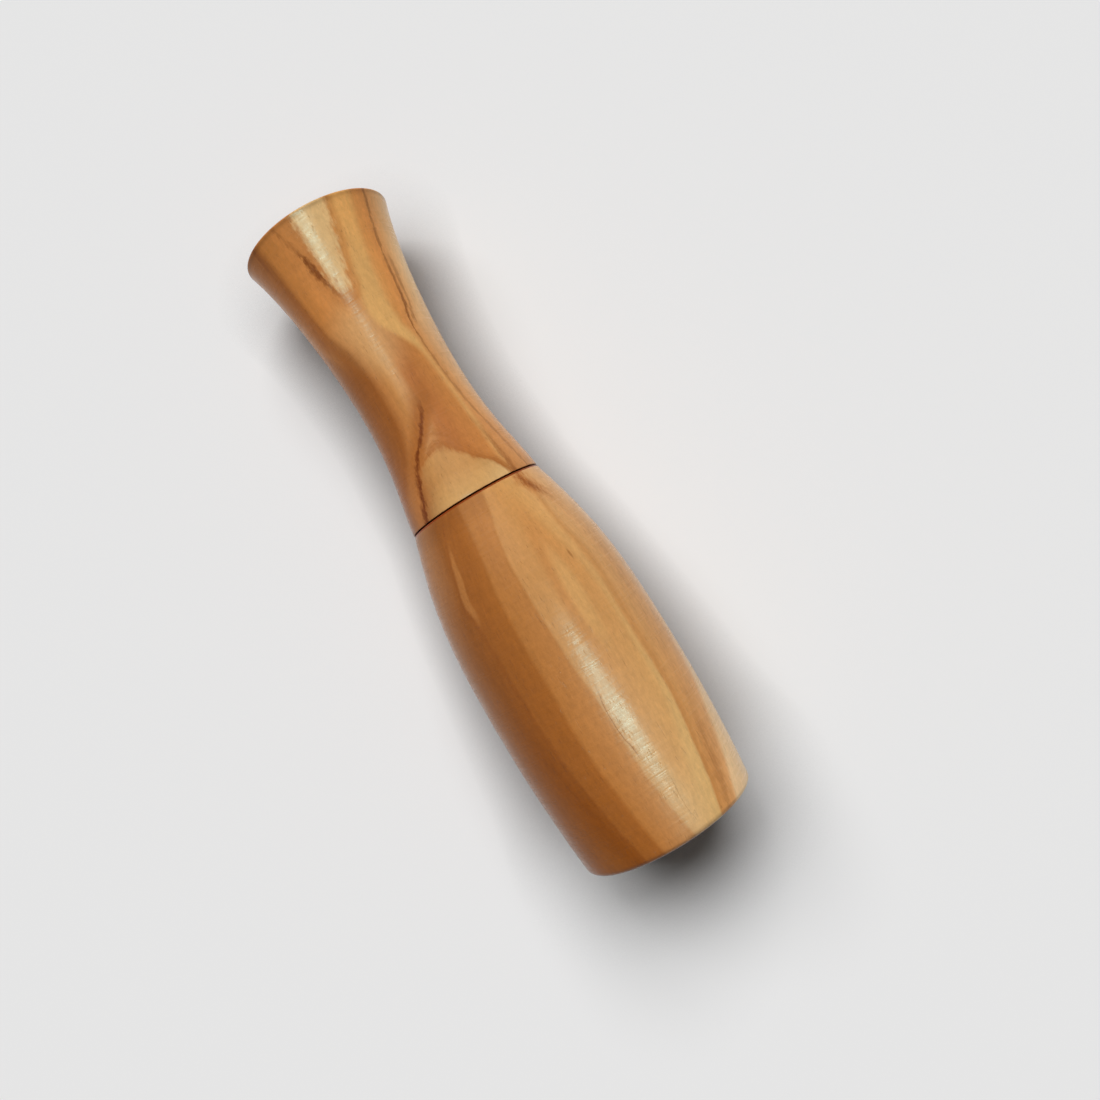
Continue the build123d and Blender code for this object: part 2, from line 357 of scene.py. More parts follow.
growth_layers, entry, leave = new_group(
    "growth_layers", ("Point", "Across", "Up", "Rise", "Spread", "Waver"), ("Layer",)
)
tree = growth_layers
slow = minus(tree, noise(tree, entry["Point"], SLOW_GRAIN), 0.5)
ragged = minus(tree, noise(tree, entry["Point"], RAGGED_GRAIN, 3.0, 0.6), 0.5)
waver = plus(tree, slow, times(tree, ragged, RAGGED_SHARE))
parts = split(tree, entry["Point"])
place = minus(tree, times(tree, parts["Z"], entry["Up"]), times(tree, parts["Y"], entry["Across"]))
place = calc(tree, "DIVIDE", minus(tree, place, entry["Rise"]), entry["Spread"])
feed(tree, leave["Layer"], plus(tree, place, times(tree, waver, entry["Waver"])))
print("group:", growth_layers.name)

# %% [markdown]
# ## Fine grain, pores and turning marks
# Within a layer, olive has fine lines along the grain and short open pores, which the lacquer leaves as
# faint dashes. Across the grain run the rings that the gouge and the sandpaper leave. They could be
# modelled, but they are far finer than the mesh, so they are noise that is drawn out round the axis.
# These are groups, because both wooden pieces use them.

# %% The fine grain and turning marks groups
STREAKS = (0.11, 1.4, 0.12)
PORE_DASHES = (0.4, 4.0, 4.0)
PORE_PATCHES = (0.06, 0.4, 0.4)
PORE_LIMITS = (0.74, 0.64)
PORE_EDGE = 0.06
RINGS = (1.4, 0.1, 0.1)
RING_RANGE = (0.38, 0.62)
DIMPLES = (0.5, 0.9, 0.9)
DIMPLE_SHARE = 0.8

fine_grain, entry, leave = new_group("fine_grain", ("Point", "Layer"), ("Streak", "Pores"))
tree = fine_grain
parts = split(tree, entry["Point"])
sheet = join(tree, parts["X"], entry["Layer"], plus(tree, parts["Y"], parts["Z"]))
feed(tree, leave["Streak"], between(tree, noise(tree, sheet, STREAKS, 6.0, 0.66), *NOISE_RANGE))
dashes = noise(tree, entry["Point"], PORE_DASHES, 1.0)
patches = noise(tree, entry["Point"], PORE_PATCHES, 1.0)
limit = between(tree, patches, *NOISE_RANGE, *PORE_LIMITS)
feed(tree, leave["Pores"], between(tree, minus(tree, dashes, limit), 0, PORE_EDGE))

turning_marks, entry, leave = new_group("turning_marks", ("Point",), ("Height", "Rings"))
tree = turning_marks
rings = noise(tree, entry["Point"], RINGS, 2.0, 0.6)
dimples = noise(tree, entry["Point"], DIMPLES, 3.0, 0.6)
feed(tree, leave["Height"], plus(tree, rings, times(tree, dimples, DIMPLE_SHARE)))
feed(tree, leave["Rings"], between(tree, rings, *RING_RANGE))
print("groups:", fine_grain.name, turning_marks.name)

# %% [markdown]
# ## Veins and eyes
# A vein is a thin dark sheet in the wood. It has a dark core and a softer brown halo, both with ragged
# edges that thin out and come back, so the group measures how many widths away a point is. An eye is a
# closed patch where a layer just touches the surface, and its mask is a soft ellipse of station and
# layer.

# %% The vein and eye groups
VEIN_SWELL = (0.25, 0.7, 0.7)
VEIN_RAGGED = (0.9, 2.6, 2.6)
VEIN_FIBRES = (0.3, 3.2, 3.2)
RAGGED_WIDTHS = 3.0
SWELL_WIDTHS = (0.32, 0.66, 0.5, 1.5)
CORE_EDGE, CORE_FIBRES = (1.2, 0.35), (0.33, 0.5, 0.6, 1.0)
HALO_EDGE, HALO_FIBRES = (4.0, 0.5), (0.4, 0.62, 0.5, 1.0)

vein, entry, leave = new_group("vein", ("Point", "Away", "Width"), ("Core", "Halo"))
tree = vein
swell = noise(tree, entry["Point"], VEIN_SWELL, 3.0, 0.6)
width = times(tree, entry["Width"], between(tree, swell, *SWELL_WIDTHS))
ragged = minus(tree, noise(tree, entry["Point"], VEIN_RAGGED, 4.0, 0.7), 0.5)
ragged = times(tree, ragged, times(tree, entry["Width"], RAGGED_WIDTHS))
distance = calc(tree, "DIVIDE", size_of(tree, plus(tree, entry["Away"], ragged)), width)
fibres = noise(tree, entry["Point"], VEIN_FIBRES, 3.0, 0.6)
core = times(tree, between(tree, distance, *CORE_EDGE), between(tree, fibres, *CORE_FIBRES))
halo = times(tree, between(tree, distance, *HALO_EDGE), between(tree, fibres, *HALO_FIBRES))
feed(tree, leave["Core"], core)
feed(tree, leave["Halo"], halo)

eye_patch, entry, leave = new_group(
    "eye_patch", ("Station", "Layer", "Middle", "Half length", "Centre", "Half width", "Softness"), ("Mask",)
)
tree = eye_patch
along = calc(tree, "DIVIDE", minus(tree, entry["Station"], entry["Middle"]), entry["Half length"])
over = calc(tree, "DIVIDE", minus(tree, entry["Layer"], entry["Centre"]), entry["Half width"])
reach = calc(tree, "SQRT", plus(tree, times(tree, along, along), times(tree, over, over)))
inwards = times(tree, entry["Softness"], -1.0)
mask = between(tree, minus(tree, reach, 1.0), entry["Softness"], inwards, kind="SMOOTHSTEP")
feed(tree, leave["Mask"], mask)
print("groups:", vein.name, eye_patch.name)

# %% [markdown]
# ## Drawing figure into the wood
# The barrel and the bell differ only in how their layers lie and in the tones of those layers. Both are
# drawn with the same few strokes: upright sheets that follow a path, veins and eyes on them, and tones
# that change along the piece. The side that no one sees while playing gets a few thin lines of its own.

# %% Helpers that draw the figure
VEIN_BROWN = colour(110, 52, 12)
VEIN_HALO = colour(172, 104, 48)
HALO_SHARE = 0.5
UNDER_FADE = (0.5, -3.0)
BACK_LINE_WIDTH = 0.16
BACK_LINE_STRENGTH = 0.5


def station_point(tree):
    """The point in millimetres: x is the station from the mouth face, y and z are measured from the axis."""
    here = add_node(tree, "ShaderNodeTexCoord").outputs["Object"]
    shift = (-MOUTH_X / MM, 0, -AXIS_Z / MM)
    return stretch(tree, here, (1 / MM, 1 / MM, 1 / MM), shift)


def upright_sheet(tree, point, path, waver):
    """Millimetres to the right of an upright sheet that runs through (station, place) points."""
    rise = along_curve(tree, split(tree, point)["X"], path)
    inputs = {"Point": point, "Across": 1.0, "Up": 0.0, "Rise": rise, "Spread": 1.0, "Waver": waver}
    return use_group(tree, growth_layers, inputs)["Layer"]


def draw_vein(tree, base, point, away, width, strength, halo_share=HALO_SHARE):
    """The tones with a vein. Its strength is a value, or a curve through (station, strength) points."""
    marks = use_group(tree, vein, {"Point": point, "Away": away, "Width": width})
    if isinstance(strength, list):
        strength = along_curve(tree, split(tree, point)["X"], strength)
    halo = times(tree, marks["Halo"], times(tree, strength, halo_share), clamp=True)
    base = mix_colour(tree, halo, base, VEIN_HALO)
    return mix_colour(tree, times(tree, marks["Core"], strength), base, VEIN_BROWN)


def draw_back_lines(tree, base, point, paths, waver):
    """Thin veins on the lower half of the wood, which fade out at the height of the axis."""
    strength = times(tree, between(tree, split(tree, point)["Z"], *UNDER_FADE), BACK_LINE_STRENGTH)
    for path in paths:
        away = upright_sheet(tree, point, path, waver)
        base = draw_vein(tree, base, point, away, BACK_LINE_WIDTH, strength)
    return base


def draw_eye(tree, base, point, layer, shape, shade, strength=1.0, mode="MIX"):
    """The tones with an eye of another shade."""
    inputs = {"Station": split(tree, point)["X"], "Layer": layer, **shape}
    mask = use_group(tree, eye_patch, inputs)["Mask"]
    return mix_colour(tree, times(tree, mask, strength), base, shade, mode)


def layer_tones(tree, layer, stops):
    """The tones of the layers, from (layer, colour) stops."""
    low, high = stops[0][0], stops[-1][0]
    places = [((place - low) / (high - low), shade) for place, shade in stops]
    return tones(tree, between(tree, layer, low, high), places)


def changing_tones(tree, station, layer, reach, first, last):
    """Layer tones that change from the first stops to the last over a reach of stations."""
    share = between(tree, station, *reach, kind="SMOOTHSTEP")
    return mix_colour(tree, share, layer_tones(tree, layer, first), layer_tones(tree, layer, last))


# %% [markdown]
# ## One lacquer for both wooden pieces
# Over the figure go grain lines, mottling and pores. End grain drinks the lacquer and turns brown, and the
# bore is barer and duller, and darker with dust and painted shade. A red-brown painted shade lies in the
# joint's gap at its outer edge. The sheen is a satin one that the turning rings break, in its roughness
# and in a fine relief.

# %% The shared olive wood finish
MOTTLE = (0.7, 1.5, 1.5)
STREAK_TONES = (0.92, 1.05)
MOTTLE_TONES = (0.89, 1.1)
PORE_BROWN, PORE_SHARE, PORE_DEPTH = colour(96, 56, 26), 0.22, 0.5
END_BROWN, END_SHARE, END_FACING = colour(112, 68, 32), 0.4, (0.8, 0.97)
# The bore is darker brown, with dust and painted shade.
BORE_DUST_AND_SHADE, BORE_DUST_AND_SHADE_SHARE = colour(92, 58, 30), 0.3
# A red-brown painted shade for the faces in the joint's gap, near its outer edge.
GAP_PAINTED_SHADE = colour(126, 52, 12)
JOINT_STATION = (JOINT_X - MOUTH_X) / MM - 0.05
JOINT_LINE_EDGE, JOINT_LINE_SHARE = (0.3, 0.22), 0.95
JOINT_LINE_RADII = (JOINT_R / MM - 0.9, JOINT_R / MM - 0.5)
LACQUER_SHEEN = 0.12
LACQUER_ROUGHNESS = (0.21, 0.13)
BORE_ROUGHNESS = 0.3
RING_ROUGHNESS = 0.11
TURNED_RELIEF = (0.8, 0.05)


def gap_painted_shade_mask(tree, point):
    """A mask of the painted shade in the joint's gap, near its outer edge."""
    to_joint = size_of(tree, minus(tree, split(tree, point)["X"], JOINT_STATION))
    across = stretch(tree, point, (0, 1, 1))
    radius = add_node(tree, "ShaderNodeVectorMath", {0: across}, operation="LENGTH").outputs["Value"]
    return times(tree, between(tree, to_joint, *JOINT_LINE_EDGE, 0, JOINT_LINE_SHARE),
                 between(tree, radius, *JOINT_LINE_RADII))


def finish_olive(tree, surface, point, layer, base):
    """Grain, pores, end grain, dust and painted shade in the bore, painted shade in the joint gap and lacquer
    over the tones.
    """
    grain = use_group(tree, fine_grain, {"Point": point, "Layer": layer})
    mottle = noise(tree, point, MOTTLE, 5.0, 0.72)
    shade = times(tree, between(tree, grain["Streak"], 0, 1, *STREAK_TONES),
                  between(tree, mottle, *NOISE_RANGE, *MOTTLE_TONES))
    grey = add_node(tree, "ShaderNodeCombineColor", {"Red": shade, "Green": shade, "Blue": shade})
    base = mix_colour(tree, 1.0, base, grey.outputs["Color"], "MULTIPLY")
    base = mix_colour(tree, times(tree, grain["Pores"], PORE_SHARE), base, PORE_BROWN)
    facing = add_node(tree, "ShaderNodeTexCoord").outputs["Normal"]
    end_grain = between(tree, size_of(tree, split(tree, facing)["X"]), *END_FACING)
    base = mix_colour(tree, times(tree, end_grain, END_SHARE), base, END_BROWN)
    bore = add_node(tree, "ShaderNodeAttribute", attribute_name="in_bore").outputs["Fac"]
    # The bore is painted darker, with dust and painted shade.
    base = mix_colour(tree, times(tree, bore, BORE_DUST_AND_SHADE_SHARE), base, BORE_DUST_AND_SHADE)
    # The joint's gap gets its red-brown painted shade here.
    feed(tree, surface["Base Color"], mix_colour(tree, gap_painted_shade_mask(tree, point), base, GAP_PAINTED_SHADE))
    marks = use_group(tree, turning_marks, {"Point": point})
    rough = between(tree, mottle, *NOISE_RANGE, *LACQUER_ROUGHNESS)
    rough = plus(tree, rough, times(tree, bore, BORE_ROUGHNESS))
    feed(tree, surface["Roughness"], plus(tree, rough, times(tree, marks["Rings"], RING_ROUGHNESS)))
    surface["Specular IOR Level"].default_value = LACQUER_SHEEN
    height = minus(tree, marks["Height"], times(tree, grain["Pores"], PORE_DEPTH))
    emboss(tree, surface, height, *TURNED_RELIEF)


# %% [markdown]
# ## The barrel's wood
# On the barrel the layers stand nearly upright along the axis, so they show as lengthwise bands: dark
# brown on one flank, mid brown, a broad golden middle with an eye, and a brown vein before a pale flank.
# They spread apart at the belly and draw together at both ends. The golden middle starts at an edge with
# a path of its own. A hairline crack, a dark fleck, a pale lens on the dark flank and a painted shade
# before the joint finish it.

# %% Tones of the barrel
BARREL_SPREAD = [(0, 1.0), (14, 1.34), (31, 1.52), (45, 1.48), (59, 1.2), (69.5, 1.0)]
BARREL_MIDDLE, BARREL_WAVER = 2.4, 0.9
BARREL_REACH = (4, 62)
LEFT_MOUTH_TONES = [
    (-13.0, colour(140, 80, 24)),
    (-9.2, colour(132, 70, 12)),
    (-8.4, colour(139, 77, 20)),
    (-7.9, colour(153, 90, 33)),
    (-5.3, colour(159, 95, 38)),
    (-4.6, colour(181, 118, 58)),
    (-2.0, colour(188, 130, 75)),
    (-0.5, colour(194, 140, 87)),
]
RIGHT_MOUTH_TONES = [
    (-1.0, colour(200, 152, 99)),
    (2.0, colour(214, 172, 118)),
    (6.4, colour(222, 178, 114)),
    (6.8, colour(200, 137, 75)),
    (7.4, colour(214, 153, 88)),
    (9.3, colour(226, 164, 100)),
    (9.9, colour(230, 170, 108)),
    (10.5, colour(246, 204, 150)),
    (13.0, colour(248, 208, 156)),
]
LEFT_JOINT_TONES = [
    (-13.0, colour(158, 105, 60)),
    (-10.2, colour(139, 82, 32)),
    (-8.6, colour(146, 87, 36)),
    (-7.0, colour(148, 88, 36)),
    (-5.2, colour(153, 93, 39)),
    (-4.7, colour(167, 109, 54)),
    (-2.0, colour(171, 113, 58)),
    (-0.8, colour(172, 115, 60)),
]
RIGHT_JOINT_TONES = [
    (-1.0, colour(186, 133, 77)),
    (2.0, colour(189, 135, 77)),
    (5.0, colour(198, 146, 86)),
    (6.5, colour(206, 154, 94)),
    (7.1, colour(193, 137, 80)),
    (7.7, colour(207, 155, 98)),
    (8.8, colour(212, 160, 105)),
    (10.2, colour(216, 166, 113)),
    (13.0, colour(232, 188, 138)),
]
# A painted shade darkens the dark flank over the last stations before the joint.
BARREL_JOINT_PAINTED_SHADE, BARREL_JOINT_PAINTED_SHADE_REACH = (0.86, 0.84, 0.82, 1.0), (64, 68.5)
EYE_SHADE = colour(251, 241, 234)
HEART_SHADE = colour(205, 157, 97)
LENS_SHADE = colour(168, 110, 56)
print("barrel tones:", len(LEFT_MOUTH_TONES) + len(RIGHT_MOUTH_TONES), "at the mouth")

# %% Figure of the barrel
PALE_EDGE = [(0, 3.4), (10, 2.0), (18, 1.3), (28, 1.05), (40, 0.2), (52, 0.2), (60, 0.8), (66, 1.9),
             (69.5, 2.4)]
PALE_EDGE_WAVER, PALE_EDGE_FADE = 0.6, (-0.35, 0.3)
GOLDEN_EYE = {"Middle": 36, "Half length": 27, "Centre": 3.6, "Half width": 2.5, "Softness": 0.2}
PALE_HEART = {"Middle": 45, "Half length": 9, "Centre": 3.3, "Half width": 0.9, "Softness": 0.5}
LENS_PATH = [(0, -8.6), (50, -8.6), (56, -9.35), (63, -9.1), (69.5, -8.6)]
LEFT_LENS = {"Middle": 56.5, "Half length": 6.5, "Centre": 0.0, "Half width": 0.5, "Softness": 0.35}
FLECK = {"Middle": 52, "Half length": 0.9, "Centre": 5.3, "Half width": 0.14, "Softness": 0.6}
RIGHT_VEIN = [(0, 8.2), (17, 8.4), (30, 8.7), (47, 9.1), (57, 9.2), (62, 8.7), (67, 7.0), (69.5, 6.6)]
RIGHT_VEIN_STRENGTH = [(0, 0.15), (10, 0.2), (20, 0.06), (36, 0.05), (45, 0.08), (58, 0.06), (64, 0.25),
                       (67, 0.5), (69.5, 0.4)]
HAIRLINE = [(0, 2.4), (17.3, 2.1), (21, 1.55), (25, 1.35), (29.3, 1.8), (34, 2.0), (69.5, 2.0)]
HAIRLINE_STRENGTH = [(0, 0), (15, 0), (18, 0.45), (24, 0.5), (29, 0.4), (31.5, 0), (69.5, 0)]
LEFT_LINE = [(0, -8.5), (15, -8.3), (44, -8.6), (50, -9.0), (56, -10.0), (63, -9.5), (69.5, -8.4)]
BARREL_BACK_LINES = (
    [(0, -16.0), (27, -17.1), (50, -16.0), (69.5, -12.4)],
    [(0, -16.6), (27, -17.8), (50, -17.0), (69.5, -12.9)],
    [(0, 16.2), (27, 17.3), (50, 16.4), (69.5, 12.5)],
    [(0, 16.8), (27, 18.1), (50, 17.2), (69.5, 13.0)],
)
HEART_STRENGTH, LENS_STRENGTH, FLECK_STRENGTH = 0.7, 0.8, 0.45
HAIRLINE_WIDTH, HAIRLINE_WAVER = 0.08, 0.1
BARREL_BACK_WAVER = 1.6
# Each vein is a path of layers with a width, a strength and a halo share.
BARREL_VEINS = ((RIGHT_VEIN, 0.4, RIGHT_VEIN_STRENGTH, 2.4), (LEFT_LINE, 0.3, 0.2, HALO_SHARE))
print("barrel veins:", len(BARREL_VEINS), "and back lines:", len(BARREL_BACK_LINES))


# %% The barrel's olive wood
def draw_barrel_eyes(tree, base, point, layer, station):
    """The golden eye with its pale heart, the lens on the dark flank and the fleck."""
    base = draw_eye(tree, base, point, layer, GOLDEN_EYE, EYE_SHADE, mode="MULTIPLY")
    base = draw_eye(tree, base, point, layer, PALE_HEART, HEART_SHADE, HEART_STRENGTH)
    from_lens = minus(tree, layer, along_curve(tree, station, LENS_PATH))
    base = draw_eye(tree, base, point, from_lens, LEFT_LENS, LENS_SHADE, LENS_STRENGTH)
    return draw_eye(tree, base, point, layer, FLECK, VEIN_BROWN, FLECK_STRENGTH)


def barrel_wood():
    material, tree, surface = new_material("olive_wood_barrel")
    point = station_point(tree)
    station = split(tree, point)["X"]
    inputs = {"Point": point, "Across": 1.0, "Up": 0.0, "Rise": BARREL_MIDDLE,
              "Spread": along_curve(tree, station, BARREL_SPREAD), "Waver": BARREL_WAVER}
    layer = use_group(tree, growth_layers, inputs)["Layer"]
    left = changing_tones(tree, station, layer, BARREL_REACH, LEFT_MOUTH_TONES, LEFT_JOINT_TONES)
    # Painted shade on the dark side, just before the joint.
    near_joint = between(tree, station, *BARREL_JOINT_PAINTED_SHADE_REACH, kind="SMOOTHSTEP")
    left = mix_colour(tree, near_joint, left, BARREL_JOINT_PAINTED_SHADE, "MULTIPLY")
    right = changing_tones(tree, station, layer, BARREL_REACH, RIGHT_MOUTH_TONES, RIGHT_JOINT_TONES)
    edge = upright_sheet(tree, point, PALE_EDGE, PALE_EDGE_WAVER)
    base = mix_colour(tree, between(tree, edge, *PALE_EDGE_FADE, kind="SMOOTHSTEP"), left, right)
    base = draw_barrel_eyes(tree, base, point, layer, station)
    for path, width, strength, halo_share in BARREL_VEINS:
        away = minus(tree, layer, along_curve(tree, station, path))
        base = draw_vein(tree, base, point, away, width, strength, halo_share)
    crack = upright_sheet(tree, point, HAIRLINE, HAIRLINE_WAVER)
    base = draw_vein(tree, base, point, crack, HAIRLINE_WIDTH, HAIRLINE_STRENGTH)
    base = draw_back_lines(tree, base, point, BARREL_BACK_LINES, BARREL_BACK_WAVER)
    finish_olive(tree, surface, point, layer, base)
    return material


barrel_olive = barrel_wood()
print("material:", barrel_olive.name, len(barrel_olive.node_tree.nodes), "nodes")

# %% [markdown]
# ## The bell's wood
# On the bell a pale top layer lies flat, and the waist cuts below it. That leaves a pale tongue above the
# joint and a pale wedge below the rim, each with a frayed edge and a feathered brown halo. The layers
# under it stand more upright: dark on the left, golden on the ridge and pale again beyond a dark vein on
# the right. Another vein runs up the left side of the tongue and shades the neck, and the rim's edge has a
# painted shade. The flare turns lighter towards the rim, partly with painted light, the foot's edge has
# painted light, and a pale patch on the ridge is partly a painted highlight. Each border is a path of
# (station, millimetres right of the axis), and the top layer is a path of heights.

# %% Tones of the bell
WAIST_TONES = [
    (-0.6, colour(164, 108, 58)),
    (-0.33, colour(146, 87, 39)),
    (-0.04, colour(145, 85, 35)),
    (0.07, colour(178, 116, 61)),
    (0.2, colour(186, 128, 71)),
    (0.28, colour(199, 145, 90)),
    (0.38, colour(198, 143, 90)),
    (0.47, colour(177, 113, 62)),
    (0.6, colour(173, 108, 57)),
    (0.85, colour(192, 126, 66)),
    (0.96, colour(206, 142, 82)),
    (1.05, colour(216, 154, 94)),
    (1.24, colour(238, 188, 134)),
]
# The rim tones are lighter than the waist tones: partly the wood's own tone, partly painted light on the
# flare.
RIM_TONES_WITH_PAINTED_LIGHT = [
    (-0.25, colour(196, 132, 70)),
    (-0.14, colour(176, 110, 52)),
    (-0.03, colour(164, 97, 38)),
    (0.03, colour(198, 128, 62)),
    (0.2, colour(206, 136, 72)),
    (0.35, colour(206, 140, 78)),
    (0.6, colour(208, 148, 88)),
    (0.8, colour(216, 160, 96)),
    (0.9, colour(220, 151, 83)),
    (0.98, colour(226, 151, 82)),
    (1.05, colour(236, 172, 106)),
    (1.16, colour(252, 206, 146)),
]
# The foot's edge is paler with painted light, and lighter still on the right side.
FOOT_PALE_WITH_PAINTED_LIGHT = colour(199, 153, 95)
FOOT_PAINTED_LIGHT = colour(216, 174, 116)
FOOT_SHADE = colour(138, 79, 33)
TONGUE_PALE = colour(184, 134, 78)
WEDGE_PALE = colour(222, 182, 126)
TONGUE_HALO = colour(156, 95, 43)
WEDGE_HALO = colour(192, 126, 66)
# The pale turns lighter towards the rim, partly with painted light.
RIM_PALE_WITH_PAINTED_LIGHT = colour(234, 192, 132)
GOLD = colour(217, 166, 101)
# The gold turns lighter towards the rim, partly with painted light.
RIM_GOLD_WITH_PAINTED_LIGHT = colour(240, 178, 104)
# A painted shade darkens the rim's rounded edge.
RIM_EDGE_PAINTED_SHADE, RIM_EDGE_PAINTED_SHADE_REACH = (0.7, 0.68, 0.66, 1.0), (126.6, 127.5)
# A pale patch on the ridge near the waist, partly the wood and partly a painted highlight.
WAIST_EYE_AND_PAINTED_HIGHLIGHT_SHADE, WAIST_EYE_AND_PAINTED_HIGHLIGHT_STRENGTH = colour(216, 168, 112), 0.55
print("bell tones:", len(WAIST_TONES), "at the waist,", len(RIM_TONES_WITH_PAINTED_LIGHT), "at the rim")

# %% Figure of the bell
TOP_LAYER = [(70, 10.3), (72.4, 10.75), (74.2, 11.1), (76, 11.3), (78.3, 11.56), (80.1, 11.72), (82, 11.76),
             (110, 11.56), (113, 11.64), (114.2, 11.77), (116, 11.93), (118, 12.24), (120.7, 12.71),
             (124, 13.4), (128, 14.42)]
TOP_LEAN = [(70, 0.02), (72.4, 0.02), (74.2, 0.08), (76, 0.13), (78.3, 0.14), (80.1, 0.06), (88, 0.05),
            (112, 0.03), (116, 0.02), (118, -0.02), (120.7, -0.06), (128, -0.1)]
TOP_WAVER = 0.5
LEFT_BORDER = [(70, -11.6), (74, -10.4), (78, -8.2), (81, -6.3), (85, -4.9), (89, -4.4), (95, -4.4),
               (99, -4.5), (102, -4.8), (105, -5.8), (108, -7.0), (112, -7.7), (116, -8.2), (128, -9.8)]
RIGHT_BORDER = [(70, 11.6), (78, 9.9), (86, 8.2), (94, 7.25), (101, 6.95), (107, 7.9), (115, 8.85),
                (121, 10.0), (128, 11.9)]
LEFT_WAVER, RIGHT_WAVER = 0.9, 0.5
TONGUE_VEIN = [(70, -8.9), (73.5, -7.7), (77.6, -6.15), (80.6, -4.45), (83, -2.3), (86, -0.4), (89, 0.8),
               (128, 4)]
TONGUE_VEIN_STRENGTH = [(70, 1.0), (75, 1.0), (84, 0.95), (88, 0.6), (91, 0), (128, 0)]
NECK_SHADE = [(70, 0.45), (76, 0.55), (80, 0.9), (86, 1.0), (89, 0.8), (92, 0.25), (94, 0), (128, 0)]
WEDGE_VEIN = [(70, 2), (110, -0.6), (112, -1.4), (115, -2.3), (118.5, -3.1), (121.4, -3.8), (128, -5.8)]
WEDGE_VEIN_STRENGTH = [(70, 0), (108, 0), (111, 0.15), (114, 0.4), (117, 0.8), (120, 0.8), (122, 0.45),
                       (124, 0.25), (128, 0.3)]
FLANK_VEIN = [(70, -9.0), (107, -8.9), (114.4, -9.25), (120, -9.7), (123.8, -10.4), (128, -10.8)]
FLANK_VEIN_STRENGTH = [(70, 0), (103, 0), (107, 0.1), (114, 0.15), (120, 0.15), (124, 0.3), (128, 0.45)]
RIGHT_BORDER_STRENGTH = [(70, 0.35), (90, 0.35), (99, 0.5), (103, 0.7), (118, 0.5), (128, 0.5)]
SECOND_STRAND = 0.8
SECOND_STRAND_STRENGTH = [(70, 0), (101, 0), (104, 0.4), (114, 0.35), (118, 0), (128, 0)]
FOOT_LINE = [(70, 9.1), (76, 8.4), (83, 7.25), (90, 6.5), (128, 6.5)]
FOOT_LINE_STRENGTH = [(70, 0.5), (78, 0.35), (86, 0), (128, 0)]
GOLD_MIDDLE = [(70, 8.5), (97, 6.2), (101, 5.0), (104, 3.8), (108, 3.3), (112, 3.7), (118, 4.7), (128, 7.1)]
GOLD_HALF_WIDTH = [(70, 0.01), (95, 0.02), (99, 0.6), (103, 1.3), (107, 1.8), (112, 1.7), (128, 2.2)]
# The pale patch on the ridge is partly a painted highlight.
WAIST_EYE_AND_PAINTED_HIGHLIGHT = {"Middle": 103, "Half length": 6.5, "Centre": 0.36, "Half width": 0.34, "Softness": 0.6}
BELL_BACK_LINES = (
    [(70, -12.3), (82, -10.4), (94, -9.6), (105, -10.1), (118, -11.6), (128, -13.8)],
    [(70, -12.8), (82, -10.9), (94, -10.1), (105, -10.5), (118, -12.1), (128, -14.3)],
    [(70, 12.6), (82, 10.7), (94, 9.9), (105, 10.3), (118, 11.8), (128, 14.1)],
)
TONGUE_WAVER, WEDGE_WAVER, FLANK_WAVER, FOOT_WAVER, BELL_BACK_WAVER = 0.5, 0.8, 0.6, 0.8, 1.2
BROAD_VEIN, FOOT_LINE_WIDTH, FLANK_VEIN_WIDTH, THIN_VEIN = 0.55, 0.4, 0.3, 0.22
THIN_HALO = 0.3
print("bell back lines:", len(BELL_BACK_LINES))

# %% Layers of the bell
WAIST_TO_RIM = (98, 113)
GOLD_WAVER, GOLD_FADE, GOLD_REACH = 0.8, (0.9, -0.6), (115, 124)
FOOT_SIDE, FOOT_REACH = (-3, -7), (70, 75)
RIM_PALE_REACH = (119, 125)


def bell_layers(tree, point, station, right):
    """The layer, nought at the left border and one at the right, and the tones with the golden ridge."""
    left = upright_sheet(tree, point, LEFT_BORDER, LEFT_WAVER)
    layer = calc(tree, "DIVIDE", left, minus(tree, left, right))
    # The tones turn lighter from the waist to the rim, partly with painted light.
    base = changing_tones(tree, station, layer, WAIST_TO_RIM, WAIST_TONES, RIM_TONES_WITH_PAINTED_LIGHT)
    # The pale patch on the ridge, partly a painted highlight.
    base = draw_eye(tree, base, point, layer, WAIST_EYE_AND_PAINTED_HIGHLIGHT, WAIST_EYE_AND_PAINTED_HIGHLIGHT_SHADE, WAIST_EYE_AND_PAINTED_HIGHLIGHT_STRENGTH)
    beyond = minus(tree, size_of(tree, upright_sheet(tree, point, GOLD_MIDDLE, GOLD_WAVER)),
                   along_curve(tree, station, GOLD_HALF_WIDTH))
    # The gold turns lighter towards the rim, partly with painted light.
    gold = mix_colour(tree, between(tree, station, *GOLD_REACH), GOLD, RIM_GOLD_WITH_PAINTED_LIGHT)
    return layer, mix_colour(tree, between(tree, beyond, *GOLD_FADE, kind="SMOOTHSTEP"), base, gold)


def top_tones(tree, point, station, to_rim):
    """Tones of the pale top layer, from the foot to the rim, with painted light at the foot and towards the
    rim.
    """
    # Painted light on the foot's edge, stronger on the right.
    pale = mix_colour(tree, between(tree, split(tree, point)["Y"], *FOOT_SIDE), FOOT_PALE_WITH_PAINTED_LIGHT, FOOT_PAINTED_LIGHT)
    pale = mix_colour(tree, between(tree, station, *FOOT_REACH), pale, TONGUE_PALE)
    pale = mix_colour(tree, to_rim, pale, WEDGE_PALE)
    return mix_colour(tree, between(tree, station, *RIM_PALE_REACH), pale, RIM_PALE_WITH_PAINTED_LIGHT)


